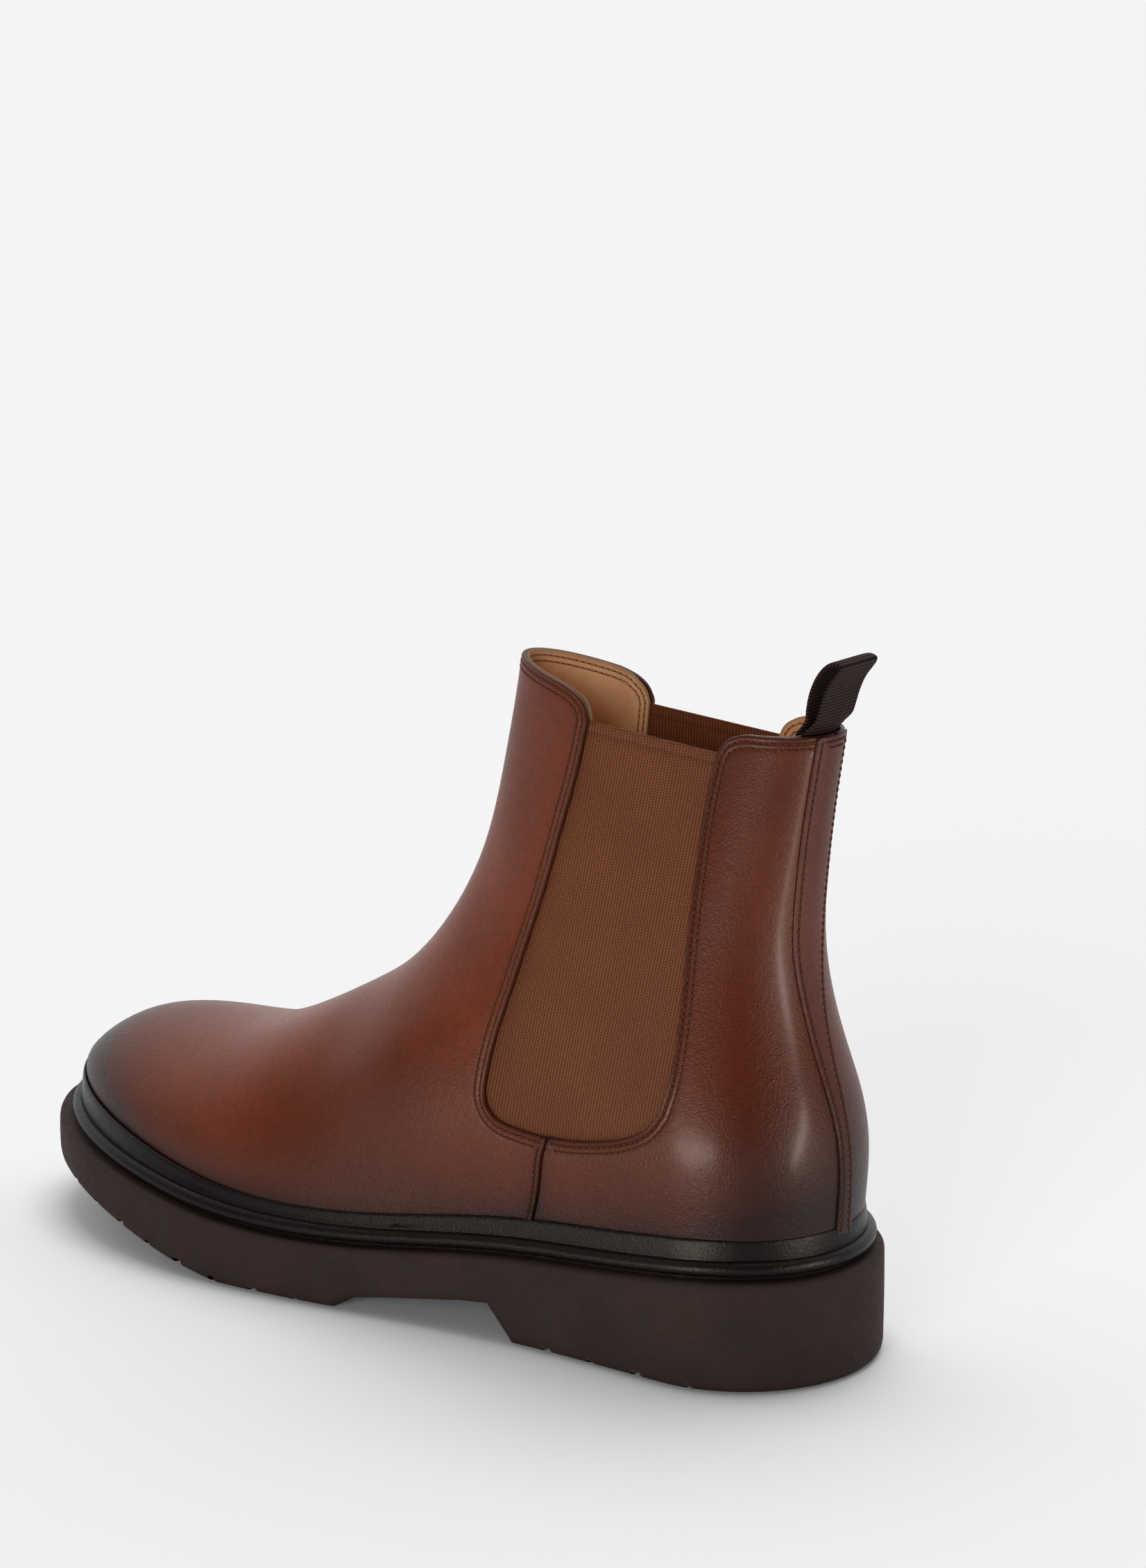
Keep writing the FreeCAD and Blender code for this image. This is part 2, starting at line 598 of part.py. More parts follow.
def boxed_parts(doc, layers):
    """Pieces that are a bound box's common part with a layer."""
    size, boot = layers.size, layers.boot
    tall = "%g mm" % TALL
    wide = "%g mm" % (2 * SIDE_REACH)
    low = size["leather"]
    core = plan_solid(boot, size["margin"] + 0.2, size["margin"] + TOE_MORE + 0.2, 0, TALL)
    fill = core.common(layers.over_sole(0, low))
    pad = plan_solid(boot, size["pad_inset"], size["pad_inset"], 0, TALL)
    pad = pad.common(layers.over_sole(low + size["board"], size["pad_height"]))
    shank_end = size["shank_start"] + size["shank_length"]
    blanks = {
        "shank": (layers.over_sole(0, low), bound_box(
            doc, "shank_blank", Vector(size["shank_start"], -size["shank_width"] / 2, 0),
            Length="Dimensions.shank_length", Width="Dimensions.shank_width", Height=tall)),
        "heel_filler": (fill, bound_box(
            doc, "heel_blank", Vector(0, -SIDE_REACH, 0),
            Length="Dimensions.shank_start - Dimensions.shank_gap", Width=wide, Height=tall)),
        "bottom_filler": (fill, bound_box(
            doc, "fore_blank", Vector(shank_end + size["shank_gap"], -SIDE_REACH, 0),
            Length="Dimensions.sole_length", Width=wide, Height=tall)),
        "heel_pad": (pad, bound_box(
            doc, "pad_blank", Vector(0, -SIDE_REACH, 0),
            Length="Dimensions.pad_length", Width=wide, Height=tall)),
        "pull_tab_root": (layers.thick, bound_box(
            doc, "root_blank", Vector(0, -size["tab_width"] / 2, BACK_TOP_Z - size["tab_sewn"]),
            Length="30 mm", Width="Dimensions.tab_width", Height="Dimensions.tab_sewn")),
    }
    parts = []
    for name, (shape, blank) in blanks.items():
        item = doc.addObject("Part::MultiCommon", name)
        item.Shapes = [held_shape(doc, name + "_layer", shape), blank]
        parts.append(item)
    return parts


def main():
    doc = FreeCAD.newDocument("chelsea_boot")
    sheet = doc.addObject("Spreadsheet::Sheet", "Dimensions")
    for row, (name, value, note) in enumerate(DRIVING, start=1):
        sheet.set("A%d" % row, name)
        sheet.set("B%d" % row, str(value))
        sheet.set("C%d" % row, note)
        sheet.setAlias("B%d" % row, name)
    doc.recompute()
    size = {name: float(getattr(sheet, name)) for name, value, note in DRIVING}
    boot = Boot(size)
    layers = Layers(size, boot)
    shapes = {**leather_parts(layers), **lining_parts(layers), **inside_parts(layers)}
    shapes["storm_welt"] = welt(layers)
    shapes["outsole"] = outsole(size, boot)
    shapes["pull_tab"] = pull_tab(size)
    parts = [held_shape(doc, name, shape) for name, shape in shapes.items()] + boxed_parts(doc, layers)
    doc.recompute()
    box = shapes["outsole"].BoundBox
    place = FreeCAD.Placement(Vector(-(box.XMin + box.XMax) / 2, -(box.YMin + box.YMax) / 2, 0),
                              FreeCAD.Rotation())
    for item in parts:
        item.Label = item.Name
        item.Placement = place
    doc.recompute()
    for item in doc.Objects:
        if "Invalid" in item.State or "Error" in item.State:
            raise RuntimeError("failed object: " + item.Label)
    os.makedirs("parts", exist_ok=True)
    for item in parts:
        shape = item.Shape
        if shape.isNull() or not shape.isValid():
            raise RuntimeError("bad shape: " + item.Label)
        print("%-18s solids %d faces %d volume %.0f" % (
            item.Label, len(shape.Solids), len(shape.Faces), shape.Volume))
        shape.exportStep("parts/%s.step" % item.Label)


main()
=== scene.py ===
import math

import bpy
import numpy as np
from mathutils import Matrix, Vector
from mathutils.geometry import delaunay_2d_cdt
from mathutils.kdtree import KDTree


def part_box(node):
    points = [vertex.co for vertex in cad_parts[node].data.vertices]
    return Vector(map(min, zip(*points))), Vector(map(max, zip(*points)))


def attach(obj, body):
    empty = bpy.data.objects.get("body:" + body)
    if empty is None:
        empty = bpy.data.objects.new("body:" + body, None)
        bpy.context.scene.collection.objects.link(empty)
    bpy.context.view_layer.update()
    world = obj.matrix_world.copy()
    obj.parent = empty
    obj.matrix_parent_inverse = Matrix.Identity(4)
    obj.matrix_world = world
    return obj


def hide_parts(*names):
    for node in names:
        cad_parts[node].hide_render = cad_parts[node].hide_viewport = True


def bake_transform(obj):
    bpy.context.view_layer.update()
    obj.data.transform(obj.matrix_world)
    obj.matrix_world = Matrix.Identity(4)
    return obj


# A left chelsea boot. Its surface, pattern lines and layers are worked out in millimetres, with x from the
# back of the heel to the toe, y to the outer side and z up, and moved into the frame at the end.

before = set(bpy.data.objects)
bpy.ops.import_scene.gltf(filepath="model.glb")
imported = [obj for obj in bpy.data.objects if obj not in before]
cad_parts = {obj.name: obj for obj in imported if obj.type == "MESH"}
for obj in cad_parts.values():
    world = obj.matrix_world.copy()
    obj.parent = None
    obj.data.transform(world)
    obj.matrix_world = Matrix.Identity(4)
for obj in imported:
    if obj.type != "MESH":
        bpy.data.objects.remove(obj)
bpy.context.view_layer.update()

PI = math.pi
TAU = 2 * math.pi


# ---------------------------------------------------------------- curves
class Spline:
    """Natural cubic spline through (t, value) points, straight outside them."""

    def __init__(self, points):
        self.t, self.value = np.array(points, float).T
        steps = np.diff(self.t)
        slopes = np.diff(self.value) / steps
        count = len(self.t)
        system = np.eye(count)
        right = np.zeros(count)
        for i in range(1, count - 1):
            system[i, i - 1:i + 2] = steps[i - 1], 2 * (steps[i - 1] + steps[i]), steps[i]
            right[i] = 6 * (slopes[i] - slopes[i - 1])
        self.bend = np.linalg.solve(system, right)
        self.first = slopes[0] - steps[0] * self.bend[1] / 6
        self.last = slopes[-1] + steps[-1] * self.bend[-2] / 6

    def __call__(self, t):
        t = np.asarray(t, float)
        inside = np.clip(t, self.t[0], self.t[-1])
        i = np.clip(np.searchsorted(self.t, inside) - 1, 0, len(self.t) - 2)
        step = self.t[i + 1] - self.t[i]
        a = (self.t[i + 1] - inside) / step
        b = 1 - a
        curve = (a ** 3 - a) * self.bend[i] + (b ** 3 - b) * self.bend[i + 1]
        value = a * self.value[i] + b * self.value[i + 1] + curve * step ** 2 / 6
        return value + np.minimum(0, t - self.t[0]) * self.first + np.maximum(0, t - self.t[-1]) * self.last


def summed(lengths):
    """Distance travelled at each point of a line, from the lengths of its steps."""
    return np.concatenate([[0], np.cumsum(lengths)])


def travelled(points):
    """Distance along a line in a plane to each of its points."""
    return summed(np.hypot(*np.diff(points, axis=0).T))


def sample(ts, t, points, curved=False):
    """Points of a line at the distances ts, where t is the distance to each given point."""
    def one(values):
        return Spline(np.column_stack([t, values]))(ts) if curved else np.interp(ts, t, values)
    return np.column_stack([one(values) for values in points.T])


def smooth(start, end, x):
    """0 before start, 1 after end, and an even S curve between them."""
    t = np.clip((x - start) / (end - start), 0, 1)
    return t * t * (3 - 2 * t)


def closed_end(x, start, length, power):
    """1 inside, falling to 0 at start, as a superellipse of that length."""
    t = np.clip(1 - (x - start) / length, 0, 1)
    return np.sqrt(np.maximum(0, 1 - t ** power))


# ---------------------------------------------------------------- the boot's surface
LENGTH = 305.0
HEEL_RADIUS = 41.0
TOE_REACH = 66.0
sole_outer = Spline([(0, 41), (41, 41.5), (75, 41.5), (105, 43), (135, 47), (165, 52.5), (195, 56.5),
                     (222, 57), (245, 54), (305, 48)])
sole_inner = Spline([(0, 41.5), (41, 41.5), (75, 39), (105, 36.5), (135, 38.5), (165, 45), (195, 51.5),
                     (222, 53.5), (245, 52), (305, 46)])
long_axis = Spline([(0, 0), (120, 0), (200, -1), (260, -4), (305, -8)])
sole_top = Spline([(0, 32.4), (30, 32.2), (58, 29.2), (88, 26.7), (117, 23.6), (141, 20.6), (169, 18.8),
                   (200, 19.6), (230, 23.3), (260, 27.2), (305, 32)])
welt_rise = Spline([(0, 11.5), (100, 11.2), (185, 9.8), (245, 12.0), (305, 14.5)])
toe_spring = Spline([(200, 0), (224, 4.6), (249, 10.2), (275, 14.8), (310, 17.8)])
back_line = Spline([(20, 6), (44, 6), (60, 5.4), (75, 7.3), (90, 12), (105, 16.2), (122, 18.4), (140, 17.6),
                    (163, 14.8), (188, 10.6), (215, 6)])
shaft_half = Spline([(20, 35), (44, 35.2), (60, 36.2), (75, 35.4), (90, 33), (105, 30), (122, 26.5),
                     (140, 23), (163, 19), (188, 16.2), (215, 14.5)])
back_round = Spline([(20, 36), (60, 36), (90, 34), (122, 30), (163, 24), (188, 20), (215, 18)])
front_round = Spline([(20, 60), (90, 60), (122, 56), (150, 46), (188, 36), (215, 34)])
RIDGE = np.array([(118, 215), (121, 192), (125.5, 168), (132.5, 140), (140, 124), (150.5, 109), (162, 98),
                  (178, 88), (198, 77.5), (222, 68.2), (246, 64.8), (264, 63), (279, 59), (289, 52.5),
                  (295, 44.5), (296, 34)])
UPPER_INSET = 6.2
UPPER_TOE_INSET = 9.0
UPPER_HEEL_RADIUS = 36.0
UPPER_TOE_REACH = 64.0
UPPER_END = LENGTH - UPPER_TOE_INSET
LOW_PLANE = 14.0
BACK_TOP = 205.0
TOE_END = 0.11

along = travelled(RIDGE)
ridge_t = np.linspace(0, along[-1], 601)
ridge_x, ridge_z = sample(ridge_t, along, RIDGE, curved=True).T


def side_of(turn):
    return np.where(turn % TAU <= PI, 1, -1)


def sole_half(x, side):
    return np.where(side > 0, sole_outer(x), sole_inner(x))


def outline(turn, inset, toe_inset):
    """Line in plan that runs inside the sole's edge. turn is 0 at the heel and pi at the toe."""
    x = inset + (LENGTH - toe_inset - inset) * (1 - np.cos(turn)) / 2
    side = side_of(turn)
    width = sole_half(x, side) - inset
    width *= closed_end(x, inset, HEEL_RADIUS - inset, 2)
    width *= closed_end(x, LENGTH - toe_inset, (toe_inset - inset) / 3 - TOE_REACH, 2.2)
    return np.column_stack([x, long_axis(x) + side * width])


def upper_half(x, side):
    """Half width of the leather where it meets the welt."""
    width = sole_half(x, side) - UPPER_INSET - 1.5 * smooth(170, 250, x)
    width *= closed_end(x, UPPER_INSET, UPPER_HEEL_RADIUS, 2)
    return width * closed_end(x, UPPER_END, -UPPER_TOE_REACH, 2.2)


def upper_outline(turn):
    """The leather's line in plan where it meets the welt."""
    x = UPPER_INSET + (UPPER_END - UPPER_INSET) * (1 - np.cos(turn)) / 2
    side = side_of(turn)
    return np.column_stack([x, long_axis(x) * smooth(120, 180, x) + side * upper_half(x, side)])


def welt_top(x):
    return sole_top(x) + welt_rise(x)


def half(x, z, side):
    """Half width of the upper at a point of the side view: forefoot sections blend into shaft sections."""
    forward = smooth(120, 180, x)
    low = welt_top(x)
    rise = np.clip((z - low) / np.maximum(0.5, np.interp(x, ridge_x, ridge_z) - low), 0, 1)
    power = 1.7 + 0.45 * smooth(150, 215, x)
    fore = upper_half(x, side) * np.maximum(0, 1 - rise ** power) ** (1 / 1.9)
    width = shaft_half(z) + (sole_half(x, side) - sole_outer(45.0)) * (1 - smooth(60, 130, z))
    width = width * closed_end(x, back_line(z), back_round(z), 2.2)
    front = np.interp(-z, -ridge_z, ridge_x)
    shaft = width * closed_end(x, front, -front_round(z), 2.1)
    return (1 - forward) * shaft + forward * fore


def level(v):
    """The side view's line at height share v, as back x, back z, front x, front z."""
    back_z = LOW_PLANE + (BACK_TOP - LOW_PLANE) * v
    t = ridge_t[-1] * (1 - (v - TOE_END) / (1 - TOE_END))
    front_x = np.interp(t, ridge_t, ridge_x)
    low_z = LOW_PLANE + (ridge_z[-1] - LOW_PLANE) * v / TOE_END
    front_z = np.where(v < TOE_END, low_z, np.interp(t, ridge_t, ridge_z))
    return back_line(back_z), back_z, front_x, front_z


def surface(turn, v):
    """Points of the outer surface. turn is 0 at the back and pi at the front by the outer side."""
    back_x, back_z, front_x, front_z = level(v)
    share = (1 - np.cos(turn)) / 2
    x = back_x + (front_x - back_x) * share
    z = back_z + (front_z - back_z) * share
    side = side_of(turn)
    return np.column_stack([x, long_axis(x) * smooth(120, 180, x) + side * half(x, z, side), z])


def unit(vectors):
    return vectors / np.maximum(1e-9, np.linalg.norm(vectors, axis=1))[:, None]


def tangents(turn, v):
    """The surface's directions round the boot and up it."""
    step = 0.012
    around = (surface(turn + step, v) - surface(turn - step, v)) / (2 * step)
    low, high = np.clip(v - step, 0, 1), np.clip(v + step, 0, 1)
    return around, (surface(turn, high) - surface(turn, low)) / (high - low)[:, None]


def inward(turn, v):
    """The surface's unit normal, towards the inside."""
    around, rise = tangents(turn, v)
    return unit(np.cross(around, rise))


def locate(x, z):
    """(turn, v) of side view points, on the outer side."""
    low, high = np.zeros(len(x)), np.ones(len(x))
    for _ in range(36):
        v = (low + high) / 2
        back_x, back_z, front_x, front_z = level(v)
        above = (front_x - back_x) * (z - back_z) > (front_z - back_z) * (x - back_x)
        low, high = np.where(above, v, low), np.where(above, high, v)
    share = (x - back_x) / (front_x - back_x)
    return np.column_stack([np.arccos(np.clip(1 - 2 * share, -1, 1)), v]), share


edge_turns = np.linspace(0, TAU, 2001)
edge_xy = outline(edge_turns, 0, 0)
sole_low, sole_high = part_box("outsole")
middle_y = (edge_xy[:, 1].min() + edge_xy[:, 1].max()) / 2000
ORIGIN = np.array([sole_low.x, (sole_low.y + sole_high.y) / 2 - middle_y, 0])


def to_frame(points):
    """Millimetres of the boot to metres of the frame."""
    return np.asarray(points, float) / 1000 + ORIGIN


# ---------------------------------------------------------------- pattern lines, in side view
GORE_FRONT = [(85.6, 184.2), (88.7, 167.4), (92.6, 150.8), (96.2, 134.3), (100.2, 117.8), (103.5, 101.5),
              (106.3, 88), (107.6, 77)]
GORE_CORNER_FRONT = [(107.6, 77), (107.2, 71.5), (103.4, 66.6), (97, 64.8)]
GORE_CORNER_BACK = [(62, 67.5), (55, 70.2), (49.5, 74), (46, 79)]
GORE_BACK = [(46, 79), (44, 87), (43.2, 98), (43.3, 111), (43.7, 123), (43.7, 146), (43.2, 158),
             (42, 170), (40, 180.4)]
SIDE_SEAM = [(84.6, 64.1), (86.4, 59), (88, 50), (89.8, 40)]
JOIN_BACK = [(84.6, 64.1), (80, 64.3), (71, 65.5), (62, 67.5)]
JOIN_FRONT = [(84.6, 64.1), (88, 64), (97, 64.8)]
QUARTER_TOP = [(40, 180.4), (38.6, 183.2), (35.6, 185.8), (29.7, 187.5)]
FRONT_TOP = [(85.6, 184.2), (86.8, 187.8), (90.6, 191.2), (97, 193.6)]
FRONT_TOP_END = (126, 199.4)
BACK_TOP_Z = 187.6
LEATHER = 1.4
LINING = 0.65
LINING_DEPTH = 1.5
GORE_MARGIN = 7.0
WELT_LAP = 3.5          # how far the leather runs down behind the welt
SEAM_FOOT_X = 92.0
LINING_FOOT = 4.8       # over the sole, where the inner linings end


def leather_foot(x):
    return welt_top(x) - WELT_LAP


def lining_foot(x):
    return sole_top(x) + LINING_FOOT


SEAM_FOOT = (SEAM_FOOT_X, leather_foot(SEAM_FOOT_X))


def side_curve(points):
    """Smooth curve through side view points, as (turn, v) on the outer side."""
    points = np.array(points, float)
    t = travelled(points)
    return locate(*sample(np.linspace(0, t[-1], 80), t, points, curved=len(points) > 2).T)[0]


def line_to_ridge(start, end):
    """Straight line in side view, cut where it meets the boot's front."""
    share = np.linspace(0, 1, 200)
    x = start[0] + (end[0] - start[0]) * share
    z = start[1] + (end[1] - start[1]) * share
    place, reach = locate(x, z)
    inside = place[reach < 0.9999]
    return np.vstack([inside, [PI, inside[-1, 1]]])


def level_curve(start, end, height):
    """Line along the boot at a height that is a function of x, as (turn, v)."""
    x = np.linspace(start, end, 160)
    return locate(x, height(x))[0]


def to_toe_tip(place):
    """The same curve, ending exactly on the middle of the toe."""
    return np.vstack([place[:-1], [PI, place[-1, 1]]])


def back_v(z):
    return (z - LOW_PLANE) / (BACK_TOP - LOW_PLANE)


def flipped(place, turn=TAU):
    """The same line on the inner side. Turns there are counted down from the given one."""
    return np.column_stack([turn - place[:, 0], place[:, 1]])


def round_heel(runs):
    """Closed edge from its outer half, which starts and ends on the boot's back."""
    return runs + [(kind, flipped(place, 0)[::-1]) for kind, place in reversed(runs)]


def round_front(lower, upward):
    """Closed edge over toe and instep, from the outer half of its foot and its way up to the middle."""
    runs = lower + [(kind, flipped(place)[::-1]) for kind, place in reversed(lower)]
    runs += [(kind, flipped(place)) for kind, place in upward]
    return runs + [(kind, place[::-1]) for kind, place in reversed(upward)]


def shifted(points, dx):
    return [(x + dx, z) for x, z in points]


# ---------------------------------------------------------------- meshes
def add_object(name, data):
    added = bpy.data.objects.new(name, data)
    bpy.context.scene.collection.objects.link(added)
    return added


def search_tree(points):
    tree = KDTree(len(points))
    for i, point in enumerate(points):
        tree.insert(point, i)
    tree.balance()
    return tree


def shade_smooth(mesh, sharp):
    """Smooth shading, apart from edges that are sharper than that angle in degrees."""
    mesh.polygons.foreach_set("use_smooth", [True] * len(mesh.polygons))
    mesh.set_sharp_from_angle(angle=math.radians(sharp))


def make_object(name, points, faces, material, nodes=(), body="root", attributes=None, sharp=50):
    """A piece from points in millimetres, in place of those CAD nodes."""
    mesh = bpy.data.meshes.new(name)
    mesh.from_pydata(to_frame(points).tolist(), [], [list(map(int, face)) for face in faces])
    mesh.validate()
    shade_smooth(mesh, sharp)
    for key, values in (attributes or {}).items():
        kind = "FLOAT_VECTOR" if np.ndim(values) == 2 else "FLOAT"
        layer = mesh.attributes.new(key, kind, "POINT")
        field = "vector" if kind == "FLOAT_VECTOR" else "value"
        layer.data.foreach_set(field, np.asarray(values, np.float32).ravel())
    mesh.materials.append(material)
    piece = add_object(name, mesh)
    if body:
        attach(piece, body)
    if nodes:
        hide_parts(*nodes)
    return piece


def moved_up(face, start):
    return tuple(i + start for i in face)


def sweep(rings, closed):
    """Rings joined in order. A closed sweep joins the last ring to the first."""
    count = len(rings[0])
    faces = []
    for r in range(len(rings) if closed else len(rings) - 1):
        a, b = r * count, (r + 1) % len(rings) * count
        for k in range(count):
            n = (k + 1) % count
            faces.append((a + k, a + n, b + n, b + k))
    return np.vstack(rings), faces


class Outline:
    """A panel's closed edge on the surface, in runs that each have a kind."""

    def __init__(self, runs, spacing):
        places, kinds = [], []
        for kind, run in runs:
            t = summed(np.linalg.norm(np.diff(surface(*run.T), axis=0), axis=1))
            ts = np.linspace(0, t[-1], max(2, int(round(t[-1] / spacing)) + 1))[:-1]
            places.append(sample(ts, t, run))
            kinds += [kind] * len(ts)
        self.place = np.vstack(places)
        self.kind = np.array(kinds)
        x, y = self.place.T
        self.turning = np.sign(np.sum(x * np.roll(y, -1) - np.roll(x, -1) * y))
        self.trees = {}
        for kind in set(kinds):
            at = self.kind == kind
            here = surface(*self.place[at].T)
            after = surface(*np.roll(self.place, -1, axis=0)[at].T)
            points = [here + (after - here) * share for share in (0, 0.25, 0.5, 0.75, 1)]
            self.trees[kind] = search_tree(np.vstack(points))

    def inset(self, distance):
        """The edge moved that far into the panel, in (turn, v)."""
        along_edge = np.roll(self.place, -1, axis=0) - np.roll(self.place, 1, axis=0)
        around, rise = tangents(*self.place.T)
        ahead = unit(around * along_edge[:, :1] + rise * along_edge[:, 1:])
        across = self.turning * np.cross(inward(*self.place.T), ahead)
        a, b, c = (around ** 2).sum(1), (around * rise).sum(1), (rise ** 2).sum(1)
        p, q = (around * across).sum(1), (rise * across).sum(1)
        bottom = np.maximum(1e-6, a * c - b * b)
        step = np.column_stack([(c * p - b * q) / bottom, (a * q - b * p) / bottom])
        return self.place + distance * step

    def distances(self, points):
        """Distance to each kind of edge."""
        return {kind: np.array([tree.find(point)[2] for point in points])
                for kind, tree in self.trees.items()}


def nearest(edge):
    """Distance to the nearest edge of any kind."""
    return np.min(list(edge.values()), axis=0)


PARAMETER_SCALE = np.array([52.0, 240.0])       # rough millimetres in one turn unit and one v unit


IN_CLEAR = 0.93         # share of its inset that a ring has to keep from every edge


class Panel:
    """A sheet of one thickness that lies on the surface at a depth, with relief on its outer face."""

    def __init__(self, runs, depth, thickness, relief, rings, grid, spacing=1.2, back=None):
        self.outline = Outline(runs, spacing)
        self.depth, self.thickness, self.relief, self.back = depth, thickness, relief, back
        places = [self.outline.place]
        count = len(self.outline.place)
        edges = [(i, (i + 1) % count) for i in range(count)]
        total = count
        for ring in rings:
            offset = self.outline.inset(ring)
            kept = self.clearance(offset) > ring * IN_CLEAR
            places.append(offset[kept])
            number = total + np.cumsum(kept) - 1
            joined = [i for i in range(1, count) if kept[i - 1] and kept[i]]
            edges += [(int(number[i - 1]), int(number[i])) for i in joined]
            if kept[0] and kept[-1]:
                edges.append((int(number[-1]), int(number[0])))
            total += int(kept.sum())
        low, high = self.outline.place.min(0), self.outline.place.max(0)
        turns = np.arange(low[0], high[0], grid / PARAMETER_SCALE[0])
        heights = np.arange(low[1], high[1], grid / PARAMETER_SCALE[1])
        mesh = np.stack(np.meshgrid(turns, heights), -1).reshape(-1, 2)
        places.append(mesh[self.clearance(mesh) > rings[-1] + grid * 0.45])
        flat = np.vstack(places) * PARAMETER_SCALE
        found = delaunay_2d_cdt([Vector(p) for p in flat], edges, [], 1, 1e-5)
        self.faces = np.array(found[2])
        kept = np.unique(self.faces)
        number = {int(old): new for new, old in enumerate(kept)}
        self.faces = np.array([[number[int(i)] for i in face] for face in self.faces])
        self.place = np.array([list(found[0][i]) for i in kept]) / PARAMETER_SCALE
        source = {}
        for i in kept:
            for old in found[3][i]:
                source[old] = number[int(i)]
        self.rim = [source[i] for i in range(count) if i in source]
        self.points = surface(*self.place.T)
        self.normal = inward(*self.place.T)
        self.edge = self.outline.distances(self.points)

    def clearance(self, place):
        """Distance from each (turn, v) to the panel's edge."""
        return nearest(self.outline.distances(surface(*place.T)))

    def lift(self, place):
        """Points of the panel's outer face at (turn, v), and the outward direction there."""
        points, normal = surface(*place.T), inward(*place.T)
        height = self.relief(self.outline.distances(points), points)
        return points + normal * (self.depth - height)[:, None], -normal

    def make(self, name, slot, material, nodes, attributes=None):
        """The piece: outer face, inner face and a wall between them."""
        height = self.relief(self.edge, self.points)
        outer = self.points + self.normal * (self.depth - height)[:, None]
        depth = self.depth + self.thickness - edge_round(nearest(self.edge), 0.2)
        if self.back:
            depth = depth - self.back(self.edge, self.points)
        inner = self.points + self.normal * depth[:, None]
        count = len(outer)
        corner = outer[self.faces[:, :3]]
        facing = np.cross(corner[:, 1] - corner[:, 0], corner[:, 2] - corner[:, 0])
        outward = (facing * -self.normal[self.faces[:, 0]]).sum(1).sum() > 0
        faces = self.faces if outward else self.faces[:, ::-1]
        walls = []
        for a, b in zip(self.rim, self.rim[1:] + self.rim[:1]):
            walls.append((b, a, a + count, b + count))
        if (self.outline.turning > 0) != outward:
            walls = [wall[::-1] for wall in walls]
        every = [*faces.tolist(), *(faces[:, ::-1] + count).tolist(), *walls]
        values = {key: np.concatenate([value, value]) for key, value in (attributes or {}).items()}
        return make_object(name, np.vstack([outer, inner]), every, material, nodes, attributes=values)


def edge_round(distance, radius):
    """How far a rounded edge lies below the face beside it."""
    t = np.clip(1 - distance / radius, 0, 1)
    return radius * (1 - np.sqrt(1 - t * t))


def bump(distance, centre, width):
    return np.exp(-((distance - centre) / width) ** 2)


# ---------------------------------------------------------------- stitches
ROW_ONE = 1.7
ROW_TWO = 3.5
PITCH = 2.1
THREAD_RADIUS = 0.30
HOLE_RADIUS = 0.36


def capsule(sides=6):
    """Unit thread: along x from -1 to 1, radius 1 across, its ends turned down into the leather."""
    turns = [TAU * k / sides for k in range(sides)]
    rings = []
    for along_x, radius, sink in ((-1, 0.55, 1.9), (-0.93, 0.9, 0.9), (-0.7, 1, 0.15), (0, 1.05, -0.15),
                                  (0.7, 1, 0.15), (0.93, 0.9, 0.9), (1, 0.55, 1.9)):
        rings.append([(along_x, radius * math.cos(t), radius * math.sin(t) - sink) for t in turns])
    points, faces = sweep(rings, False)
    last = len(points) - sides
    return points, [*faces, tuple(range(sides))[::-1], tuple(range(last, len(points)))]


def button(sides=8):
    """Unit needle hole: a flat dark lens, painted shade where the hole lies in shadow."""
    points = [(math.cos(TAU * k / sides), math.sin(TAU * k / sides), 0) for k in range(sides)]
    points += [(0, 0, 0.25), (0, 0, -0.5)]
    faces = []
    for k in range(sides):
        faces.append((k, (k + 1) % sides, sides))
        faces.append(((k + 1) % sides, k, sides + 1))
    return np.array(points), faces


def scatter(shape, places, ahead, up, size):
    """Copies of a unit shape, each with its own axes."""
    points, faces = shape
    side = np.cross(up, ahead)
    axes = np.stack([ahead * size[0], side * size[1], up * size[2]], 1)
    every = np.einsum("pk,nkj->npj", points, axes) + places[:, None, :]
    starts = [n * len(points) for n in range(len(places))]
    return every.reshape(-1, 3), [moved_up(face, start) for start in starts for face in faces]


def stitch_row(panel, kinds, distance, inner=False):
    """Seats along an edge: middle, direction and outward direction of each stitch."""
    wanted = np.isin(panel.outline.kind, kinds)
    line = panel.outline.inset(distance)
    starts = np.flatnonzero(wanted & ~np.roll(wanted, 1))
    seats = []
    for start in starts:
        order = [(start + k) % len(wanted) for k in range(len(wanted))]
        stop = next((k for k, i in enumerate(order) if not wanted[i]), len(order))
        place = line[order[:stop]]
        place = place[panel.clearance(place) > distance * IN_CLEAR]
        if len(place) < 4:
            continue
        t = summed(np.linalg.norm(np.diff(surface(*place.T), axis=0), axis=1))
        knots = sample(np.linspace(0, t[-1], int(t[-1] / PITCH) + 1), t, place)
        points, up = panel.underside(knots) if inner else panel.lift(knots)
        middle = (points[1:] + points[:-1]) / 2
        up = unit(up[1:] + up[:-1])
        ahead = unit(points[1:] - points[:-1])
        up = unit(up - ahead * (up * ahead).sum(1)[:, None])
        seats.append((middle, ahead, up))
    return [np.vstack(part) for part in zip(*seats)]


def edge_rows(panel, kinds=("fold", "top"), inner=False):
    """The two parallel rows along those kinds of edge."""
    return [stitch_row(panel, kinds, distance, inner) for distance in (ROW_ONE, ROW_TWO)]


